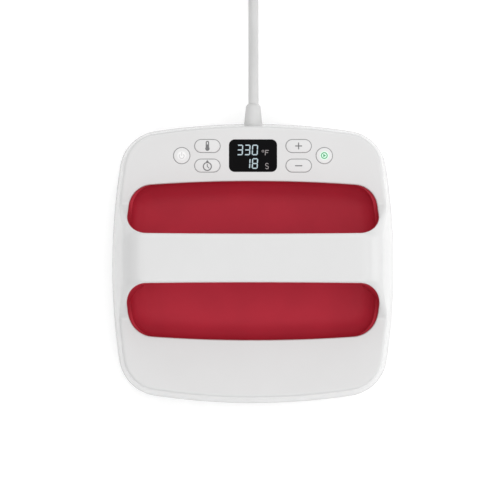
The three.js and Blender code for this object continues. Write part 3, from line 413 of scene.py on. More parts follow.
cord = {"radius": 5, "turns": 4.25, "length": 1800, "play": 0.6, "frontInset": 48, "tail": 56}
lead = {"x": 0.5, "startY": 154.47, "startZ": 46, "entry": 2.5, "arcLength": 186.06}
tie = {"thickness": 0.8, "width": 12, "angle": 225, "play": 0.9, "innerTurn": 0.5, "outerTurn": 1.5}
plug = {
    "neckRadius": 6.4, "neck": 14, "halfWidth": 13.4, "halfHeight": 12, "length": 33, "faceInset": 1.2,
    "bladeWidth": 6.3, "bladeThickness": 1.5, "bladeLength": 17.5, "bladeSpacing": 12.7,
    "bladeRise": 3.2, "pinRadius": 2.4, "pinLength": 20.5, "pinDrop": 8.2, "gap": 0.3, "entry": 3,
}
leadRoute = [
    (0, 1), (9.4, 0.995), (19.4, 0.97), (29.4, 0.915), (39.4, 0.822), (49.4, 0.697), (59.4, 0.549),
    (69.4, 0.393), (79.4, 0.253), (89.4, 0.138), (99.4, 0.06), (109.4, 0.018), (119.4, 0.003),
    (133.4, 0), (149.4, 0), (165.4, 0), (177.4, 0),
]
turnPitch = 2 * cord["radius"] + cord["play"]
lowZ = tie["thickness"] + plug["gap"] + cord["radius"]
highZ = lowZ + turnPitch
plugZ = plug["gap"] + plug["halfHeight"] + tie["thickness"]
leadEndY = lead["startY"] + leadRoute[-1][0]
spread = turnPitch * cord["turns"] / 4
fixedRuns = lead["arcLength"] + cord["tail"] - cord["frontInset"] + cord["radius"] + spread - plug["gap"]
meanRadius = (cord["length"] - fixedRuns) / (fullTurn * cord["turns"] + 1)
innerRadius = meanRadius - spread
coilX = lead["x"] - meanRadius - spread
coilY = leadEndY - cord["frontInset"] + cord["radius"] + meanRadius + spread
tailX = coilX - cord["tail"]


def smoothStep(value, low, high):
    share = min(1, max(0, (value - low) / (high - low)))
    return share * share * (3 - 2 * share)


def cordRoute():
    route = [(lead["x"], lead["startY"] - lead["entry"], lead["startZ"])]
    for run, share in leadRoute:
        route.append((lead["x"], lead["startY"] + run, lowZ + (lead["startZ"] - lowZ) * share))
    turning = cord["turns"] * fullTurn
    steps = round(cord["turns"] * 20)
    for i in range(steps + 1):
        angle = turning * i / steps
        radius = innerRadius + turnPitch * abs(angle - turning / 2) / fullTurn
        climb = smoothStep(angle, turning / 2 - quarterTurn, turning / 2 + quarterTurn)
        route.append((coilX + radius * math.cos(angle), coilY + radius * math.sin(angle),
                      lowZ + turnPitch * climb))
    straight = 2 * cord["radius"]
    tailY = route[-1][1]
    for i in range(4):
        fall = smoothStep(i / 3, 0, 1)
        route.append((coilX - straight - (cord["tail"] - 2 * straight) * i / 3, tailY,
                      highZ + (plugZ - highZ) * fall))
    route.append((tailX - plug["entry"], tailY, plugZ))
    return route


def mainsCord():
    line = bpy.data.curves.new("mainsCord", "CURVE")
    line.dimensions = "3D"
    line.resolution_u = 8
    line.bevel_depth = cord["radius"] * mm
    line.bevel_resolution = 7
    line.use_fill_caps = True
    spline = line.splines.new("BEZIER")
    spline.bezier_points.add(len(route) - 1)
    for point, spot in zip(spline.bezier_points, route):
        point.co = Vector(spot) * mm
        point.handle_left_type = point.handle_right_type = "AUTO"
    return dress(bpy.data.objects.new("mainsCord", line), "cord_white",
                 replaced=["mains_lead", "cord_coil"])


route = cordRoute()
plugPlace = Matrix(((0, 0, -1, tailX - plug["gap"]), (-1, 0, 0, route[-1][1]), (0, 1, 0, plugZ), (0, 0, 0, 1)))


def coilTie():
    # a woven strap round the turns, its free end pressed down on top
    inner = innerRadius + tie["innerTurn"] * turnPitch - cord["radius"] - tie["play"]
    outer = innerRadius + tie["outerTurn"] * turnPitch + cord["radius"] + tie["play"]
    top = highZ + cord["radius"] + plug["gap"]
    bm = bmesh.new()
    bmesh.ops.create_grid(bm, x_segments=1, y_segments=1, size=0.5)
    bmesh.ops.scale(bm, vec=(outer - inner, top - tie["thickness"], 1), verts=bm.verts)
    bmesh.ops.bevel(bm, geom=bm.verts[:], offset=cord["radius"] * 1.4, offset_type="OFFSET",
                    affect="VERTICES", segments=10, profile=0.5, material=-1)
    bmesh.ops.delete(bm, geom=bm.faces[:], context="FACES_ONLY")
    around = bm.edges[:]
    made = bmesh.ops.extrude_edge_only(bm, edges=around)["geom"]
    bmesh.ops.translate(bm, vec=(0, 0, tie["width"]),
                        verts=[g for g in made if isinstance(g, bmesh.types.BMVert)])
    faceOut(bm)
    crown = max(bm.faces, key=lambda f: f.calc_center_median().y)
    if crown.normal.y < 0:
        bmesh.ops.reverse_faces(bm, faces=bm.faces)
    bmesh.ops.solidify(bm, geom=bm.faces[:], thickness=-tie["thickness"])
    bmesh.ops.translate(bm, vec=((inner + outer) / 2, (top + tie["thickness"]) / 2, -tie["width"] / 2),
                        verts=bm.verts)
    tab = roundedBlock(15, tie["width"], 2.5, 0, tie["thickness"] * 0.9, 0.2)
    bmesh.ops.rotate(tab, matrix=Matrix.Rotation(-quarterTurn, 3, "X"), verts=tab.verts)
    bmesh.ops.translate(tab, vec=((inner + outer) / 2 + 1, top + tie["thickness"] + 0.05, 0), verts=tab.verts)
    angle = math.radians(tie["angle"])
    radial = Vector((math.cos(angle), math.sin(angle), 0))
    place = Matrix((radial, up, radial.cross(up))).transposed().to_4x4()
    place.translation = (coilX, coilY, 0)
    for part in (bm, tab):
        bmesh.ops.recalc_face_normals(part, faces=part.faces)
        bmesh.ops.transform(part, matrix=place, verts=part.verts)
    return [asPiece("coilTie", bm, "tie_black", replaced=["coil_tie"]),
            asPiece("coilTieTab", tab, "tie_black")]


def ovalSpot(co, halfWidth, halfHeight, power, z):
    # the vertex moved out along its own bearing to a rounded square of that size
    angle = math.atan2(co.y, co.x)
    bent = [math.copysign(abs(v) ** (2 / power), v) for v in (math.cos(angle), math.sin(angle))]
    return Vector((halfWidth * bent[0], halfHeight * bent[1], z))


def plugBody():
    # the neck's bore and flexing ribs, then the shoulder, the grip and the face
    radius, neck = plug["neckRadius"], plug["neck"]
    shoulder = (plug["halfWidth"] - radius) / 2
    rings = [(5.05, 5.05, 2, plug["entry"]), (5.05, 5.05, 2, 0.4), (5.4, 5.4, 2, 0)]
    for i in range(4):
        foot = 1.2 + 3.1 * i
        rings += [(5.6 + 0.2 * i, 5.6 + 0.2 * i, 2, foot), (5.6 + 0.2 * i, 5.6 + 0.2 * i, 2, foot + 1.7),
                  (5.0 + 0.2 * i, 5.0 + 0.2 * i, 2, foot + 2.0), (5.0 + 0.2 * i, 5.0 + 0.2 * i, 2, foot + 2.8)]
    rings += [(radius, radius, 2, neck), (radius + shoulder * 0.4, radius + shoulder * 0.4, 2.2, neck + shoulder * 0.4)]
    rings += [(radius + shoulder, radius + shoulder, 2.6, neck + shoulder)]
    rings += [(12.2, 11.2, 3.1, neck + 2 * shoulder), (plug["halfWidth"], plug["halfHeight"], 3.6, neck + 3 * shoulder)]
    rim = neck + plug["length"] - plug["faceInset"]
    rings.append((plug["halfWidth"], plug["halfHeight"], 3.6, rim))
    for i in range(1, 4):
        angle = quarterTurn * i / 3
        inset = plug["faceInset"] * (1 - math.cos(angle))
        rings.append((plug["halfWidth"] - inset, plug["halfHeight"] - inset, 3.6,
                      rim + plug["faceInset"] * math.sin(angle)))
    bm = bmesh.new()
    bmesh.ops.create_circle(bm, cap_ends=True, radius=5, segments=64)
    edges = bm.edges[:]
    for vert in bm.verts:
        vert.co = ovalSpot(vert.co, *rings[0])
    for one in rings[1:]:
        edges = growEdges(bm, edges, lambda co: ovalSpot(co, *one))
    bmesh.ops.contextual_create(bm, geom=edges)
    faceOut(bm)
    ribs = []
    for side in (-1, 1):
        for i in range(5):
            rib = roundedBlock(1.3, 15, 0.6, -1, 1)
            bmesh.ops.rotate(rib, matrix=Matrix.Rotation(quarterTurn, 3, "Y"), verts=rib.verts)
            bmesh.ops.translate(rib, vec=(side * (plug["halfWidth"] + 0.45), 0, neck + 15 + 3 * i), verts=rib.verts)
            ribs.append(rib)
    bm = carved(bm, ribs)
    bmesh.ops.transform(bm, matrix=plugPlace, verts=bm.verts)
    return asPiece("plugBody", bm, "cord_white", replaced=["plug_body"], sharp=40)


def plugBlade(side):
    # a flat blade with a rounded nose and a hole
    name = "left" if side < 0 else "right"
    bm = roundedBlock(plug["bladeWidth"], plug["bladeLength"], 1.4, -plug["bladeThickness"] / 2,
                      plug["bladeThickness"] / 2, 0.25, sides=5)
    bm = carved(bm, [discBlock(1.5, -3, 3, 0, (0, 4.6), 24)])
    turn = Matrix.Rotation(quarterTurn, 4, "Z") @ Matrix.Rotation(quarterTurn, 4, "X")
    shift = Matrix.Translation((side * plug["bladeSpacing"] / 2, plug["bladeRise"],
                                plug["neck"] + plug["length"] + plug["gap"] + plug["bladeLength"] / 2))
    bmesh.ops.transform(bm, matrix=plugPlace @ shift @ turn, verts=bm.verts)
    return asPiece("plugBlade" + name.capitalize(), bm, "brass", replaced=["plug_blade_" + name])


def groundPin():
    r, end = plug["pinRadius"], plug["pinLength"]
    way = [(0, 0), (r, 0), (r, end - 3)] + [
        (r * math.cos(quarterTurn * i / 6), end - 3 + 3 * math.sin(quarterTurn * i / 6)) for i in range(1, 6)
    ] + [(0, end)]
    bm = turned(way, (0, -plug["pinDrop"], plug["neck"] + plug["length"] + plug["gap"]), (0, 0, 1), sides=32)
    bmesh.ops.transform(bm, matrix=plugPlace, verts=bm.verts)
    return asPiece("groundPin", bm, "brass", replaced=["plug_ground_pin"])


def cords():
    line = mainsCord()
    carried = [*coilTie(), plugBody(), plugBlade(-1), plugBlade(1), groundPin()]
    [c * mm for c in route[0]]


cords()
print("cord made")


# Outlines: four bowed sides and four corner arcs

class Outline:
    def __init__(self, right, rear, front, sideArc, rearArc, frontArc, rearCorner, frontCorner):
        self.side = (Vector((right - sideArc, (rear + front) / 2)), sideArc)
        self.rear = (Vector((0, rear - rearArc)), rearArc)
        self.front = (Vector((0, front + frontArc)), frontArc)
        self.rearBend = (self.bendCentre(self.rear, rearCorner, 1), rearCorner)
        self.frontBend = (self.bendCentre(self.front, frontCorner, -1), frontCorner)
        turn = self.bearing
        half = [
            (*self.front, -quarterTurn, turn(self.front, self.frontBend), 24),
            (*self.frontBend, turn(self.front, self.frontBend), turn(self.side, self.frontBend), 24),
            (*self.side, turn(self.side, self.frontBend), turn(self.side, self.rearBend), 40),
            (*self.rearBend, turn(self.side, self.rearBend), turn(self.rear, self.rearBend), 24),
            (*self.rear, turn(self.rear, self.rearBend), quarterTurn, 24),
        ]
        mirrored = [
            (Vector((-c.x, c.y)), r, math.pi - end, math.pi - start, steps)
            for c, r, start, end, steps in reversed(half)
        ]
        self.arcs = half + mirrored
        bends = [half[1], half[3], mirrored[1], mirrored[3]]
        self.bends = [
            (c, r, Vector((math.cos(start), math.sin(start))), Vector((math.cos(end), math.sin(end))))
            for c, r, start, end, steps in bends
        ]
        left = (Vector((-self.side[0].x, self.side[0].y)), sideArc)
        self.sides = [self.side, left, self.rear, self.front]

    def bendCentre(self, end, radius, way):
        # the middle of the corner arc that touches both bowed sides from within
        (side, sideRadius), (other, otherRadius) = self.side, end
        near, far = sideRadius - radius, otherRadius - radius
        across = other - side
        apart = across.length
        along = (near**2 - far**2 + apart**2) / (2 * apart)
        off = math.sqrt(near**2 - along**2)
        across.normalize()
        spots = [
            side + across * along + Vector((-across.y, across.x)) * off * turn for turn in (1, -1)
        ]
        return max(spots, key=lambda p: p.x + way * p.y)

    def bearing(self, start, end):
        reach = end[0] - start[0]
        return math.atan2(reach.y, reach.x)

    def nearest(self, x, y):
        # how far inside the outline a point is, and the way out
        spot = Vector((x, y))
        for centre, radius, first, last in self.bends:
            reach = spot - centre
            if first.cross(reach) >= 0 and reach.cross(last) >= 0:
                return radius - reach.length, reach.normalized()
        found = min(
            (radius - (spot - centre).length, i) for i, (centre, radius) in enumerate(self.sides)
        )
        return found[0], (spot - self.sides[found[1]][0]).normalized()

    def depth(self, co):
        return self.nearest(co[0], co[1])[0]

    def moved(self, co, inset, z):
        # the point moved square to the outline until it is inset millimetres inside it
        depth, out = self.nearest(co[0], co[1])
        spot = Vector((co[0], co[1])) - out * (inset - depth)
        return Vector((spot.x, spot.y, z))

    def traced(self, bm, inset=0.0, z=0.0):
        # draws the outline as a closed chain of edges, one arc after another
        centre, radius, start = self.arcs[0][:3]
        reach = Vector((math.cos(start), math.sin(start))) * (radius - inset)
        first = [bm.verts.new((centre.x + reach.x, centre.y + reach.y, z))]
        last = first
        for centre, radius, start, end, steps in self.arcs:
            last = bmesh.ops.spin(bm, geom=last, cent=(centre.x, centre.y, z), axis=up,
                                  angle=end - start, steps=steps)["geom_last"]
            last = [g for g in last if isinstance(g, bmesh.types.BMVert)]
        bmesh.ops.remove_doubles(bm, verts=bm.verts, dist=0.02)
        return list(bm.edges)

    def prism(self, inset, low, high):
        bm = bmesh.new()
        self.traced(bm, inset, low)
        face = bmesh.ops.contextual_create(bm, geom=bm.edges)["faces"]
        raised = bmesh.ops.extrude_face_region(bm, geom=face)["geom"]
        bmesh.ops.translate(bm, vec=(0, 0, high - low),
                            verts=[g for g in raised if isinstance(g, bmesh.types.BMVert)])
        faceOut(bm)
        return bm


housing = {
    "width": 276, "depth": 274.4, "sideArc": 640, "cornerArc": 41, "footZ": 6, "seamZ": 33,
    "seamGap": 0.2, "seamStep": 0.5, "lean": 11.4, "shoulder": 3.4, "panelZ": 65.5, "panelAngle": 3.5,
    "wall": 2.2, "skirtTaper": 4, "footRound": 2,
}
handle = {
    "width": 45.6, "topZ": 120.95, "undersideZ": 96, "endRound": 24, "crown": 2.6, "crestFlat": 36, "frontShift": 0.25,
    "flareDepth": 116, "tunnelWidth": 214, "tunnelRound": 15, "strap": 2.5, "lip": 1.8,
}
well = {
    "width": 240, "depth": 153.4, "rimArc": 1384, "barArc": 8300, "sideArc": 400,
    "rearCorner": 22.8, "frontCorner": 25, "barCorner": 20.5, "floorZ": 46, "wallRound": 20, "rimZ": 61.8,
    "rimRound": 1.2, "lip": 3.4, "flange": 4.6, "wall": 2, "rearShift": 0.7,
}

bodyOutline = Outline(
    housing["width"] / 2, housing["depth"] / 2, -housing["depth"] / 2, housing["sideArc"],
    housing["sideArc"], housing["sideArc"], housing["cornerArc"], housing["cornerArc"],
)
wellRear = well["depth"] / 2 + well["rearShift"]
wellFront = well["rearShift"] - well["depth"] / 2
wellOutline = Outline(
    well["width"] / 2, wellRear, wellFront, well["sideArc"], well["rimArc"],
    well["rimArc"], well["rearCorner"], well["frontCorner"],
)
rearPocket = Outline(
    well["width"] / 2, wellRear, handle["width"] / 2, well["sideArc"], well["rimArc"],
    well["barArc"], well["rearCorner"], well["barCorner"],
)
frontPocket = Outline(
    well["width"] / 2, handle["frontShift"] - handle["width"] / 2, wellFront, well["sideArc"], well["barArc"],
    well["rimArc"], well["barCorner"], well["frontCorner"],
)

leanTan = math.tan(math.radians(housing["lean"]))
panelTan = math.tan(math.radians(housing["panelAngle"]))


def panelHeight(y):
    return housing["panelZ"] - max(0, abs(y) - well["depth"] / 2) * panelTan


def archShare(y):
    # 1 on the handle, falling smoothly to 0 where its legs meet the panels
    near, far = handle["crestFlat"] / 2, handle["flareDepth"] / 2
    share = min(1, max(0, (abs(y) - near) / (far - near)))
    return (1 + math.cos(math.pi * share)) / 2


def topHeight(y):
    return panelHeight(y) + (handle["topZ"] - housing["panelZ"]) * archShare(y)


def roundRadius(y):
    return housing["shoulder"] + (handle["endRound"] - housing["shoulder"]) * archShare(y) ** 1.6


def wallTop(y):
    # how high the leaning wall reaches above the seam before it rounds over, and how far it leans there
    lean, crown = math.radians(housing["lean"]), handle["crown"] * archShare(y)
    for again in range(5):
        rise = topHeight(y) - roundRadius(y) * (1 - math.sin(lean)) - housing["seamZ"]
        lean = math.atan(leanTan + crown * math.pi / rise)
    return rise, lean


def wallInset(y, z):
    # the wall leans in, and is crowned under the handle
    rise = wallTop(y)[0]
    height = min(z - housing["seamZ"], rise)
    crown = handle["crown"] * archShare(y) * math.sin(math.pi * height / rise)
    return housing["seamStep"] + height * leanTan - crown


def turnInset(y):
    return housing["seamStep"] + wallTop(y)[0] * leanTan


def coverHeight(x, y):
    # the cover's outer surface: its top, rounded into the leaning wall
    radius, (rise, lean) = roundRadius(y), wallTop(y)
    run = max(0, bodyOutline.depth((x, y)) - turnInset(y))
    if run >= radius * math.cos(lean):
        return topHeight(y)
    angle = math.acos(math.cos(lean) - run / radius)
    return topHeight(y) - radius * (1 - math.sin(angle))


def wellHeight(co):
    # the hand well's surface: a quarter round down to a flat floor
    run = min(1, max(0, wellOutline.depth(co) / well["wallRound"]))
    return well["rimZ"] - (well["rimZ"] - well["floorZ"]) * math.sin(math.acos(1 - run))


def lipFoot(co):
    # where the cover's wall round an opening ends, a short way below the rim
    lip = well["lip"] + (handle["lip"] - well["lip"]) * archShare(co.y)
    return max(wellHeight(co) + 0.3, coverHeight(co.x, co.y) - lip)


def sheetInset(y):
    # the edge of the gridded part of the cover's top
    return turnInset(y) + 3.45 + 0.6 * archShare(y)


def gridLines():
    near = 104
    far = [near + 18.6 * math.sin(quarterTurn * i / 14) for i in range(1, 15)]
    middle = [near * i / 26 for i in range(27)]
    across = middle + far + [130, 140]
    along = [2 * i for i in range(31)] + [60 + 4.4 * i for i in range(1, 19)]
    return [[-v for v in reversed(lines[1:])] + lines for lines in (across, along)]


def coverSheet():
    # the cover's top in plan, cut to its edge and to the two openings, then lifted to its height
    across, along = gridLines()
    bm = bmesh.new()
    bmesh.ops.create_grid(bm, x_segments=len(across) - 1, y_segments=len(along) - 1, size=1)
    for vert in bm.verts:
        column = round((vert.co.x + 1) / 2 * (len(across) - 1))
        row = round((vert.co.y + 1) / 2 * (len(along) - 1))
        vert.co = Vector((across[column], along[row], 0))
    lowered = bmesh.ops.extrude_face_region(bm, geom=bm.faces[:])["geom"]
    bmesh.ops.translate(bm, vec=(0, 0, -4), verts=[g for g in lowered if isinstance(g, bmesh.types.BMVert)])
    faceOut(bm)
    edge = bodyOutline.prism(0, -10, 10)
    for vert in edge.verts:
        spot = vert.co.copy()
        for again in range(4):
            spot = bodyOutline.moved(spot, sheetInset(spot.y), vert.co.z)
        vert.co = spot
    bm = carved(bm, [edge], "INTERSECT")
    bm = carved(bm, [form.prism(-well["rimRound"], -10, 10) for form in (rearPocket, frontPocket)])
    under = [f for f in bm.faces if f.normal.z < 0.5]
    bmesh.ops.delete(bm, geom=under, context="FACES")
    bmesh.ops.remove_doubles(bm, verts=bm.verts, dist=0.01)
    return bm


def roundedDown(co, share):
    # one step of the shoulder, from the sheet's edge at 0 to the leaning wall at 1
    depth = bodyOutline.depth(co)
    spot = co
    for again in range(3):
        radius, low = roundRadius(spot.y), wallTop(spot.y)[1]
        start = sheetInset(spot.y) - turnInset(spot.y)
        high = math.acos(max(0, math.cos(low) - start / radius))
        angle = high + (low - high) * share
        inset = turnInset(spot.y) + radius * (math.cos(low) - math.cos(angle))
        spot = bodyOutline.moved(spot, inset, 0)
    return Vector((spot.x, spot.y, topHeight(spot.y) - radius * (1 - math.sin(angle))))


def coverShell():
    bm = coverSheet()
    rim = [e for e in bm.edges if e.is_boundary]
    outer, pockets = [], []
    for edge in rim:
        x, y, z = (edge.verts[0].co + edge.verts[1].co) / 2
        onEdge = abs(bodyOutline.depth((x, y)) - sheetInset(y)) < 0.15
        (outer if onEdge else pockets).append(edge)
    for vert in bm.verts:
        vert.co.z = coverHeight(vert.co.x, vert.co.y)
    steps = 8
    for step in range(1, steps + 1):
        outer = growEdges(bm, outer, lambda co: roundedDown(co, step / steps))
    foot = housing["seamZ"] + housing["seamGap"]
    steps = 9
    for step in range(1, steps + 1):
        share = 1 / (steps + 1 - step)

        def lower(co):
            z = co.z + (foot - co.z) * share
            return bodyOutline.moved(co, wallInset(co.y, z), z)

        outer = growEdges(bm, outer, lower)
    steps, radius = 5, well["rimRound"]
    for step in range(1, steps + 1):
        angle = quarterTurn * step / steps

        def inward(co):
            form = rearPocket if co.y > 0 else frontPocket
            spot = form.moved(co, -radius * (1 - math.sin(angle)), 0)
            spot.z = coverHeight(spot.x, spot.y) - radius * (1 - math.cos(angle))
            return spot

        pockets = growEdges(bm, pockets, inward)
    for step in range(1, 5):
        share = 1 / (5 - step)
        pockets = growEdges(
            bm, pockets, lambda co: Vector((co.x, co.y, co.z + (lipFoot(co) - co.z) * share))
        )
    bmesh.ops.recalc_face_normals(bm, faces=bm.faces)
    crown = min(bm.faces, key=lambda f: (f.calc_center_median() - Vector((0, 0, 121))).length)
    if crown.normal.z < 0:
        bmesh.ops.reverse_faces(bm, faces=bm.faces)
    bmesh.ops.solidify(bm, geom=bm.faces[:], thickness=housing["wall"])
    bmesh.ops.recalc_face_normals(bm, faces=bm.faces)
    return bm


panel = {"centreY": 102.1}
lens = {"width": 46, "height": 31.4, "corner": 5.3, "thickness": 2.5, "gap": 0.3}
pillKey = {"width": 24.1, "height": 12.2, "corner": 6.08, "u": 44.1, "upperV": 9.4, "lowerV": -9.8}
roundKey = {"radius": 7.65, "u": 68.9}
keyCap = {"gap": 0.7, "proud": 0.3, "edge": 0.35, "body": 3.5}
# the grey ring set into each key's gap, as painted shade of that gap
gapShadeRing = {"inner": 0.1, "outer": 0.66, "top": -0.05, "foot": -1.6}
relief = {
    "x": 0.25, "z": 46, "wallRadius": 9.05, "tipRadius": 7.2, "endRadius": 5.6, "reach": 18.5,
    "chamfer": 2.0, "flangeRadius": 10.3, "flange": 1.5, "barrelRadius": 5.4, "barrel": 10.5,
}
panelPlace = Matrix.Translation((0, panel["centreY"], panelHeight(panel["centreY"]))) @ Matrix.Rotation(
    -math.radians(housing["panelAngle"]), 4, "X"
)
keys = {
    "power": (-roundKey["u"], 0, "round"),
    "temperature": (-pillKey["u"], pillKey["upperV"], "pill"),
    "timer": (-pillKey["u"], pillKey["lowerV"], "pill"),
    "plus": (pillKey["u"], pillKey["upperV"], "pill"),
    "minus": (pillKey["u"], pillKey["lowerV"], "pill"),
    "start": (roundKey["u"], 0, "round"),
}


def keyBlock(name, grow, low, high, edge=0.0):
    u, v, shape = keys[name]
    if shape == "round":
        return discBlock(roundKey["radius"] + grow, low, high, edge, (u, v))
    size = [pillKey["width"] + 2 * grow, pillKey["height"] + 2 * grow, pillKey["corner"] + grow]
    return roundedBlock(*size, low, high, edge, (u, v), 16)


def onPanel(bm):
    bmesh.ops.transform(bm, matrix=panelPlace, verts=bm.verts)
    return bm


def tunnelPrism(grow, reach, low=38):
    # the way under the handle, as a block across it with its two upper edges rounded
    half, top = handle["tunnelWidth"] / 2 + grow, handle["undersideZ"] + grow
    bm = bmesh.new()
    bmesh.ops.create_cube(bm, size=1)
    bmesh.ops.scale(bm, vec=(2 * half, 2 * reach, top - low), verts=bm.verts)
    bmesh.ops.translate(bm, vec=(0, 0, (top + low) / 2), verts=bm.verts)
    ends = [e for e in bm.edges
            if all(abs(v.co.z - top) < 0.01 for v in e.verts) and abs(sum(v.co.x for v in e.verts)) > half]
    bmesh.ops.bevel(bm, geom=ends, offset=handle["tunnelRound"] + grow, offset_type="OFFSET",
                    affect="EDGES", segments=14, profile=0.5, material=-1)
    return bm


def topCover():
    cutters = [tunnelPrism(0, handle["width"] / 2 + 4)]
    cutters += [onPanel(keyBlock(name, keyCap["gap"], -6, 4)) for name in keys]
    grow = lens["gap"]
    cutters.append(onPanel(roundedBlock(
        lens["width"] + 2 * grow, lens["height"] + 2 * grow, lens["corner"] + grow, -6, 4)))
    way = [(0, 0), (relief["wallRadius"] + 0.2, 0), (relief["wallRadius"] + 0.2, 16), (0, 16)]
    cutters.append(turned(way, (relief["x"], 124, relief["z"])))
    bm = carved(coverShell(), cutters)
    asPiece("topCover", bm, "white_housing", replaced=["top_cover"], sharp=38)


topCover()
print("cover made")


def handWell():
    bm = bmesh.new()
    edges = wellOutline.traced(bm, -well["flange"], well["rimZ"])
    edges = growEdges(bm, edges, lambda co: wellOutline.moved(co, 0, well["rimZ"]))
    for step in range(1, 13):
        angle = quarterTurn * step / 12
        run = well["wallRound"] * (1 - math.cos(angle))
        z = well["rimZ"] - (well["rimZ"] - well["floorZ"]) * math.sin(angle)
        edges = growEdges(bm, edges, lambda co: wellOutline.moved(co, run, z))
    bmesh.ops.contextual_create(bm, geom=edges)
    faceOut(bm)
    floor = max((f for f in bm.faces), key=lambda f: f.calc_area())
    if floor.normal.z < 0:
        bmesh.ops.reverse_faces(bm, faces=bm.faces)
    bmesh.ops.solidify(bm, geom=bm.faces[:], thickness=well["wall"])
    asPiece("handWell", bm, "crimson_plastic", replaced=["hand_well"], sharp=50)


def gripLowerShell():
    # a strap that lines the way under the handle, its feet on the well
    reach = handle["width"] / 2 - housing["wall"] - 1.2
    strap = tunnelPrism(handle["strap"], reach)
    bm = carved(strap, [tunnelPrism(0, reach + 10, 30)])
    asPiece("gripLowerShell", carved(bm, [footCutter()]), "crimson_plastic",
            replaced=["grip_lower_shell"], sharp=35)


def cheek(name, form):
    # the crimson wall round an opening, from the cover's lip down into the hand well
    def outward(co):
        spot = form.moved(co, -housing["wall"], 0)
        spot.z = min(co.z, coverHeight(spot.x, spot.y) - housing["wall"] - 0.3)
        return spot

    def rise(co):
        foot = wellHeight(co) - 0.5
        return Vector((co.x, co.y, foot + (max(lipFoot(co) - 0.3, foot + 0.6) - foot) * share))

    def lower(co):
        foot = wellHeight(form.moved(co, 0, 0)) - 0.5
        return Vector((co.x, co.y, co.z + (foot - co.z) * share))

    bm = bmesh.new()
    start = edges = form.traced(bm)
    for vert in bm.verts:
        vert.co.z = wellHeight(vert.co) - 0.5
    steps = 6
    for step in range(1, steps + 1):
        share = step / steps
        edges = growEdges(bm, edges, rise)
    edges = growEdges(bm, edges, outward)
    for step in range(1, steps + 1):
        share = 1 / (steps + 1 - step)
        edges = growEdges(bm, edges, lower)
    bmesh.ops.bridge_loops(bm, edges=start + edges)
    bmesh.ops.recalc_face_normals(bm, faces=bm.faces)
    bm = carved(bm, [tunnelPrism(0, handle["width"] / 2 + 6)])
    asPiece(name, bm, "crimson_plastic", sharp=40)


def footCutter():
    # everything under the hand well's surface
    bm = bmesh.new()
    edges = wellOutline.traced(bm, -12, 20)
    edges = growEdges(bm, edges, lambda co: wellOutline.moved(co, -12, well["rimZ"] + 0.3))
    edges = growEdges(bm, edges, lambda co: wellOutline.moved(co, 0, well["rimZ"] + 0.3))
    for step in range(1, 13):
        angle = quarterTurn * step / 12
        run = well["wallRound"] * (1 - math.cos(angle))
        z = well["rimZ"] + 0.3 - (well["rimZ"] - well["floorZ"]) * math.sin(angle)
        edges = growEdges(bm, edges, lambda co: wellOutline.moved(co, run, z))
    bmesh.ops.contextual_create(bm, geom=edges)
    bmesh.ops.holes_fill(bm, edges=[e for e in bm.edges if e.is_boundary], sides=0)
    faceOut(bm)
    return bm


handWell()
gripLowerShell()
cheek("cheekRear", rearPocket)
cheek("cheekFront", frontPocket)
print("hand well and grip made")

opening = {"half": 116.8, "corner": 20.5, "top": 18}
plate = {"side": 228.6, "corner": 18, "height": 10, "edge": 1.2}


def baseHousing():
    # the lower shell: from the seam down its skirt, in under the foot, and up round the plate
    height = housing["seamZ"] - housing["footZ"]
    bm = bmesh.new()
    edges = bodyOutline.traced(bm, 2.6, housing["seamZ"] + 1.5)
    for inset, drop in [(2.6, 0.05), (0.75, 0.05), (0.35, 0.2), (0.1, 0.5), (0, 0.9)]:
        edges = growEdges(bm, edges, lambda co: bodyOutline.moved(co, inset, housing["seamZ"] - drop))
    for step in range(1, 9):
        share = step / 8
        inset = housing["skirtTaper"] * share**2
        z = housing["seamZ"] - (height - housing["footRound"]) * share
        edges = growEdges(bm, edges, lambda co: bodyOutline.moved(co, inset, z))
    for step in range(1, 6):
        angle = quarterTurn * step / 5
        inset = housing["skirtTaper"] + housing["footRound"] * (1 - math.cos(angle))
        z = housing["footZ"] + housing["footRound"] * (1 - math.sin(angle))
        edges = growEdges(bm, edges, lambda co: bodyOutline.moved(co, inset, z))

    def toOpening(co):
        # the point on the rounded square opening in the same direction from the middle
        half, corner = opening["half"], opening["corner"]
        way = Vector((co.x, co.y)).normalized()
        near, far = 0, 2 * half
        for again in range(30):
            middle = (near + far) / 2
            spot = way * middle
            over = Vector((max(0, abs(spot.x) - half + corner), max(0, abs(spot.y) - half + corner)))
            near, far = (middle, far) if over.length < corner else (near, middle)
        return Vector((way.x * near, way.y * near, co.z))

    edges = growEdges(bm, edges, toOpening)
    edges = growEdges(bm, edges, lambda co: Vector((co.x, co.y, opening["top"])))
    faceOut(bm)
    low = min(bm.faces, key=lambda f: f.calc_center_median().z)
    if low.normal.z > 0:
        bmesh.ops.reverse_faces(bm, faces=bm.faces)
    bmesh.ops.solidify(bm, geom=bm.faces[:], thickness=1.5)
    wells = [discBlock(3.2, 2, 11, 0, (x * 125.2, y * 32), 32) for x in (-1, 1) for y in (-1, 1)]
    asPiece("baseHousing", carved(bm, wells), "white_housing", replaced=["base_housing"])


def heatPlate():
    bm = roundedBlock(plate["side"], plate["side"], plate["corner"], 0, plate["height"])
    roundRim(bm, 0, plate["edge"], 4)
    roundRim(bm, plate["height"], plate["edge"], 3)
    asPiece("heatPlate", bm, "plate_aluminium", replaced=["heat_plate"])


baseHousing()
heatPlate()
print("base and plate made")


relief.update({"z": 46, "bore": 5.08, "boreDepth": 4})


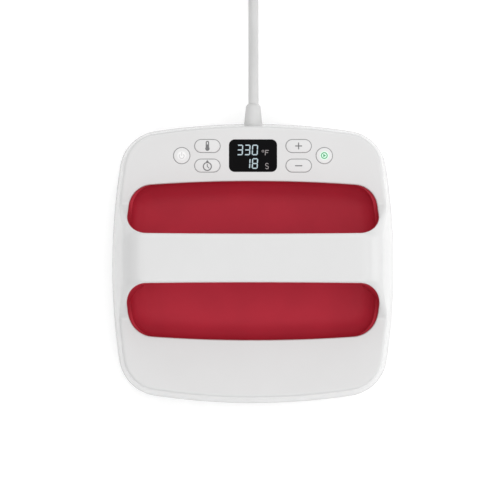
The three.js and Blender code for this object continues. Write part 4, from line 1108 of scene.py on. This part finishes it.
def strainRelief():
    # a tapered sleeve with a soft rim, turned about the lead's axis
    wallY = housing["depth"] / 2 - wallInset(housing["depth"] / 2, relief["z"])
    tipY, endY = wallY + relief["reach"], wallY + relief["reach"] + relief["chamfer"]
    way = [(0, -15), (relief["barrelRadius"], -15), (relief["barrelRadius"], -4), (relief["wallRadius"], -4)]
    way += [(relief["wallRadius"], 0), (relief["wallRadius"] - 0.08, 1)]
    tip = relief["tipRadius"]
    way += [(tip + 0.12, tipY - wallY - 1.6), (tip + 0.04, tipY - wallY - 0.4)]
    way += [(tip - 0.04, tipY - wallY - 0.1), (tip - 0.2, tipY - wallY + 0.1)]
    way += [(relief["endRadius"] + 0.2, endY - wallY - 0.25), (relief["endRadius"] - 0.1, endY - wallY)]
    way += [(relief["bore"] + 0.2, endY - wallY), (relief["bore"], endY - wallY - 0.3)]
    way += [(relief["bore"], endY - wallY - relief["boreDepth"]), (0, endY - wallY - relief["boreDepth"])]
    bm = turned(way, (relief["x"], wallY, relief["z"]))
    asPiece("strainRelief", bm, "cord_white", replaced=["strain_relief"], sharp=50)


strainRelief()

screwHead = {"radius": 2.9, "height": 2.2, "shank": 1.5, "slot": 0.75, "slotDepth": 1.1}


def panScrew(node, name, x, y, headZ, tipZ):
    # a cross-head screw that points up
    top = headZ + screwHead["height"]
    way = [(0, headZ), (1.6, headZ + 0.08), (2.4, headZ + 0.5), (screwHead["radius"], headZ + 1.2)]
    way += [(screwHead["radius"], top), (screwHead["shank"], top), (screwHead["shank"], tipZ - 2), (0, tipZ)]
    bm = turned(way, (x, y, 0), (0, 0, 1), sides=32)
    cross = [roundedBlock(3.4, screwHead["slot"], 0.2, headZ - 1, headZ + screwHead["slotDepth"], 0, (x, y), 3),
             roundedBlock(screwHead["slot"], 3.4, 0.2, headZ - 1, headZ + screwHead["slotDepth"], 0, (x, y), 3)]
    asPiece(name, carved(bm, cross), "screw_steel", replaced=[node])


for number, (x, y) in enumerate([(-1, -1), (1, -1), (1, 1), (-1, 1)], 1):
    panScrew(f"housing_screw_{number}", f"housingScrew{number}", x * 125.2, y * 32, 8.5, 48.7)
for number, x in enumerate((-82, 82), 1):
    panScrew(f"grip_screw_{number}", f"gripScrew{number}", x, 0, 96.0, 113.2)
print("relief and screws made")


# Signs and display: strokes on the panel

def stroke(bm, start, end, width, cornerSteps=5):
    # one bar of a sign, with round ends, or pointed ones where cornerSteps is 1
    start, end = Vector(start), Vector(end)
    run = end - start
    made = bmesh.ops.create_grid(bm, x_segments=1, y_segments=1, size=0.5)["verts"]
    bmesh.ops.scale(bm, vec=(run.length + width, width, 1), verts=made)
    spots = bmesh.ops.bevel(bm, geom=made, offset=width * 0.499, offset_type="OFFSET", affect="VERTICES",
                            segments=cornerSteps, profile=0.5, material=-1)["verts"]
    turn = Matrix.Rotation(math.atan2(run.y, run.x), 3, "Z")
    bmesh.ops.rotate(bm, matrix=turn, verts=spots)
    middle = (start + end) / 2
    bmesh.ops.translate(bm, vec=(middle.x, middle.y, 0), verts=spots)


def arcBand(bm, middle, radius, width, start, end, steps=40):
    # a bar bent round a middle, from one bearing to another
    centre = Vector((*middle, 0))
    reach = Vector((math.cos(math.radians(start)), math.sin(math.radians(start)), 0))
    ends = [bm.verts.new(centre + reach * (radius + side * width / 2)) for side in (-1, 1)]
    edge = bm.edges.new(ends)
    bmesh.ops.spin(bm, geom=[*ends, edge], cent=centre, axis=up, angle=math.radians(end - start), steps=steps,
                   use_merge=abs(end - start) >= 360)


def asSign(name, bm, level, thickness, body, material, slotName, at=(0, 0)):
    bmesh.ops.translate(bm, vec=(at[0], at[1], level), verts=bm.verts)
    bmesh.ops.recalc_face_normals(bm, faces=bm.faces)
    raised = bmesh.ops.extrude_face_region(bm, geom=bm.faces[:])["geom"]
    bmesh.ops.translate(bm, vec=(0, 0, thickness),
                        verts=[g for g in raised if isinstance(g, bmesh.types.BMVert)])
    bmesh.ops.recalc_face_normals(bm, faces=bm.faces)
    joined = carved(bm, [bm.copy()], "UNION")
    asPiece(name, onPanel(joined), slotName, body, material=material)


def litKey(name, centre, glowColor, strength, paintedGlowTint):
    # a white key with a soft light under its middle: the emission is the key's own light, and the base colour in the
    # same halo is painted lighter (green on the start key) as painted light of that glow
    finish = Finish(name, (0.71, 0.71, 0.71), 0.3)
    at = finish.node("ShaderNodeTexCoord").outputs["Object"]
    placed = finish.node("ShaderNodeMapping", None,
                         {"Vector": at, "Location": [-c for c in centre], "Scale": [1 / mm] * 3}).outputs[0]
    reach = Shade(finish, finish.node("ShaderNodeVectorMath", {"operation": "LENGTH"}, {0: placed}).outputs["Value"])
    halo = finish.ramp(reach * 0.125 + finish.noise(2.5, 2) * 0.02, 0.42, 0.62, 1.0, 0.0)
    # painted light: the base colour turns lighter, or green, inside the halo where the key glows
    finish.set(**{"Base Color": finish.mix(halo, (0.71, 0.71, 0.71), paintedGlowTint)})
    finish.set(**{"Emission Color": finish.mix(halo, (0, 0, 0), glowColor), "Emission Strength": strength})
    finish.set(Roughness=0.28 + finish.noise(4, 3) * 0.08)
    finish.bump(finish.noise(0.6, 3), 0.003)
    return finish.material


def panelSpot(u, v):
    return panelPlace @ Vector((u, v, 0))


# each key's last colour is the painted light of its glow, mixed into the base colour
litKeys = {
    "power": litKey("powerKeyLit", panelSpot(-roundKey["u"], 0), (1, 1, 1), 0.06, (0.78, 0.78, 0.78)),
    "start": litKey("startKeyLit", panelSpot(roundKey["u"], 0), (0.5, 1.0, 0.66), 0.16, (0.62, 0.84, 0.7)),
}
for name in keys:
    cap = onPanel(keyBlock(name, 0, -keyCap["body"], keyCap["proud"], keyCap["edge"]))
    asPiece("keyCap" + name.capitalize(), cap, "key_white", "key_" + name, ["key_" + name], litKeys.get(name))

# a grey ring just under the panel face fills each key's gap: painted shade of the gap
for name in keys:
    ring = carved(keyBlock(name, gapShadeRing["outer"], gapShadeRing["foot"], gapShadeRing["top"], 0.12),
                  [keyBlock(name, gapShadeRing["inner"], -6, 4)])
    asPiece("keyGapShade" + name.capitalize(), onPanel(ring), "key_white", material=gapShadeGrey)

sign = {"line": 1.05, "level": 0.31, "thickness": 0.05}
signGreen = mouldedPlastic("signGreen", (0.08, 0.36, 0.17), 0.5, 0.3, 0.004, 0.04)
signPale = mouldedPlastic("signPale", (0.62, 0.62, 0.62), 0.5, 0.3, 0.004, 0.03)


def drawThermometer(bm):
    line = sign["line"]
    stroke(bm, (-1.1, -1.9), (-1.1, 3.4), line)
    stroke(bm, (1.1, -1.9), (1.1, 3.4), line)
    arcBand(bm, (0, 3.4), 1.1, line, 0, 180, 16)
    stroke(bm, (0, -2.6), (0, 0.9), 1.4)
    arcBand(bm, (0, -2.7), 0.9, 1.8, 0, 360, 32)
    arcBand(bm, (0, -2.7), 1.85, 0.5, 0, 360, 32)


def drawStopwatch(bm):
    line = sign["line"]
    arcBand(bm, (0, -0.9), 3.85, line, 0, 360, 56)
    stroke(bm, (0, 3.4), (0, 4.6), 1.3)
    stroke(bm, (-0.9, 3.9), (0.9, 3.9), 0.8)
    stroke(bm, (0, -0.9), (-0.1, 1.2), 0.8)
    stroke(bm, (0, -0.9), (1.5, -2.4), 0.8)


def drawPlus(bm):
    stroke(bm, (-2.9, 0), (2.9, 0), sign["line"])
    stroke(bm, (0, -2.9), (0, 2.9), sign["line"])


def drawMinus(bm):
    stroke(bm, (-3.0, -0.2), (3.0, -0.2), sign["line"])


def drawPower(bm):
    arcBand(bm, (0, -0.6), 2.3, 0.85, 130, 410, 40)
    stroke(bm, (0, 0.1), (0, 3.0), 0.85)


def drawStart(bm):
    arcBand(bm, (0, 0), 2.8, 0.95, 0, 360, 48)
    for share in range(7):
        x = -0.8 + 0.34 * share
        half = 1.35 * (1 - share / 7)
        stroke(bm, (x, -half), (x, half), 0.42, 2)


signs = {
    "power": (drawPower, signPale), "temperature": (drawThermometer, signGrey),
    "timer": (drawStopwatch, signGrey), "plus": (drawPlus, signGrey),
    "minus": (drawMinus, signGrey), "start": (drawStart, signGreen),
}
for name, (draw, material) in signs.items():
    bm = bmesh.new()
    draw(bm)
    asSign("sign" + name.capitalize(), bm, sign["level"], sign["thickness"], "key_" + name, material,
           "key_white", keys[name][:2])
print("keys and signs made")


display = {
    "level": 0.02, "thickness": 0.04, "line": 1.08, "width": 4.75, "height": 9.3, "slant": 0.05,
    "rows": {"hundreds": ("3", -12.55, 5.55), "tens": ("3", -5.45, 5.55), "ones": ("0", 1.85, 5.55),
             "secondTens": ("1", -5.45, -7.75), "secondOnes": ("8", 1.85, -7.75)},
}
segmentsLit = {"0": "abcdef", "1": "bc", "3": "abcdg", "8": "abcdefg"}


def digit(bm, figure, u, v):
    # one seven-segment figure round its middle
    w, h = display["width"] / 2, display["height"] / 2
    cut = 0.62
    ends = {
        "a": ((-w + cut, h), (w - cut, h)), "d": ((-w + cut, -h), (w - cut, -h)),
        "g": ((-w + cut, 0), (w - cut, 0)), "b": ((w, cut), (w, h - cut)), "c": ((w, -h + cut), (w, -cut)),
        "f": ((-w, cut), (-w, h - cut)), "e": ((-w, -h + cut), (-w, -cut)),
    }
    for one in segmentsLit[figure]:
        slanted = [(u + x + display["slant"] * y, v + y) for x, y in ends[one]]
        stroke(bm, *slanted, display["line"], 1)


def displayWindow():
    bm = roundedBlock(lens["width"], lens["height"], lens["corner"], -lens["thickness"], 0, 0.25, sides=16)
    asPiece("displayWindow", onPanel(bm), "lens_black", replaced=["display_window"])
    figures = bmesh.new()
    for figure, u, v in display["rows"].values():
        digit(figures, figure, u, v)
    asSign("displayFigures", figures, display["level"], display["thickness"], "press",
           glow("figureGlow", (0.5, 0.62, 0.67), 1.0), "lens_black")
    units = bmesh.new()
    arcBand(units, (9.6, 4.4), 0.95, 0.45, 0, 360, 24)
    stroke(units, (11.8, 0.6), (12.1, 5.1), 0.7)
    stroke(units, (12.1, 5.1), (15.0, 5.1), 0.7)
    stroke(units, (12.0, 3.0), (14.3, 3.0), 0.7)
    arcBand(units, (13.5, -8.9), 1.35, 0.7, 20, 270, 24)
    arcBand(units, (13.5, -11.6), 1.35, 0.7, 90, -160, 24)
    asSign("displayUnits", units, display["level"], display["thickness"], "press",
           glow("unitGlow", (0.3, 0.27, 0.27), 1.0), "lens_black")


displayWindow()
print("display made")


def stage():
    bm = bmesh.new()
    bmesh.ops.create_grid(bm, x_segments=1, y_segments=1, size=4)
    floor = looseObject("floor", bm)
    paper = Finish("palePaper", (0.9, 0.9, 0.9), 0.9)
    paper.set(**{"Base Color": paper.mix(paper.noise(300, 3), (0.94, 0.94, 0.94), (0.97, 0.97, 0.97))})
    paper.set(**{"Emission Color": (1, 1, 1, 1), "Emission Strength": 0.15})
    floor.data.materials.append(paper.material)


lamps = {
    "overhead": {"place": (0, 0, 1900), "size": (3200, 3200), "watts": 26.5},
    "rear": {"place": (0, 1500, 1200), "size": (1800, 900), "watts": 8.4},
    "front": {"place": (0, -1300, 1500), "size": (1500, 700), "watts": 6.7},
    "right": {"place": (1400, -50, 500), "size": (1400, 900), "watts": 6.2},
}


def light():
    for name, lamp in lamps.items():
        data = bpy.data.lights.new(name, "AREA")
        data.shape = "RECTANGLE"
        data.size, data.size_y = [s * mm for s in lamp["size"]]
        data.energy = lamp["watts"]
        place = Vector(lamp["place"]) * mm
        made = bpy.data.objects.new(name, data)
        made.location = place
        made.rotation_euler = (Vector((0, 0, 0.05)) - place).to_track_quat("-Z", "Y").to_euler()
        bpy.context.collection.objects.link(made)
    world = bpy.data.worlds.new("softRoom")
    world.use_nodes = True
    world.node_tree.nodes["Background"].inputs["Color"].default_value = (1, 1, 1, 1)
    world.node_tree.nodes["Background"].inputs["Strength"].default_value = 0.43
    bpy.context.scene.world = world
    bpy.context.scene.view_settings.view_transform = "Standard"


stage()
light()
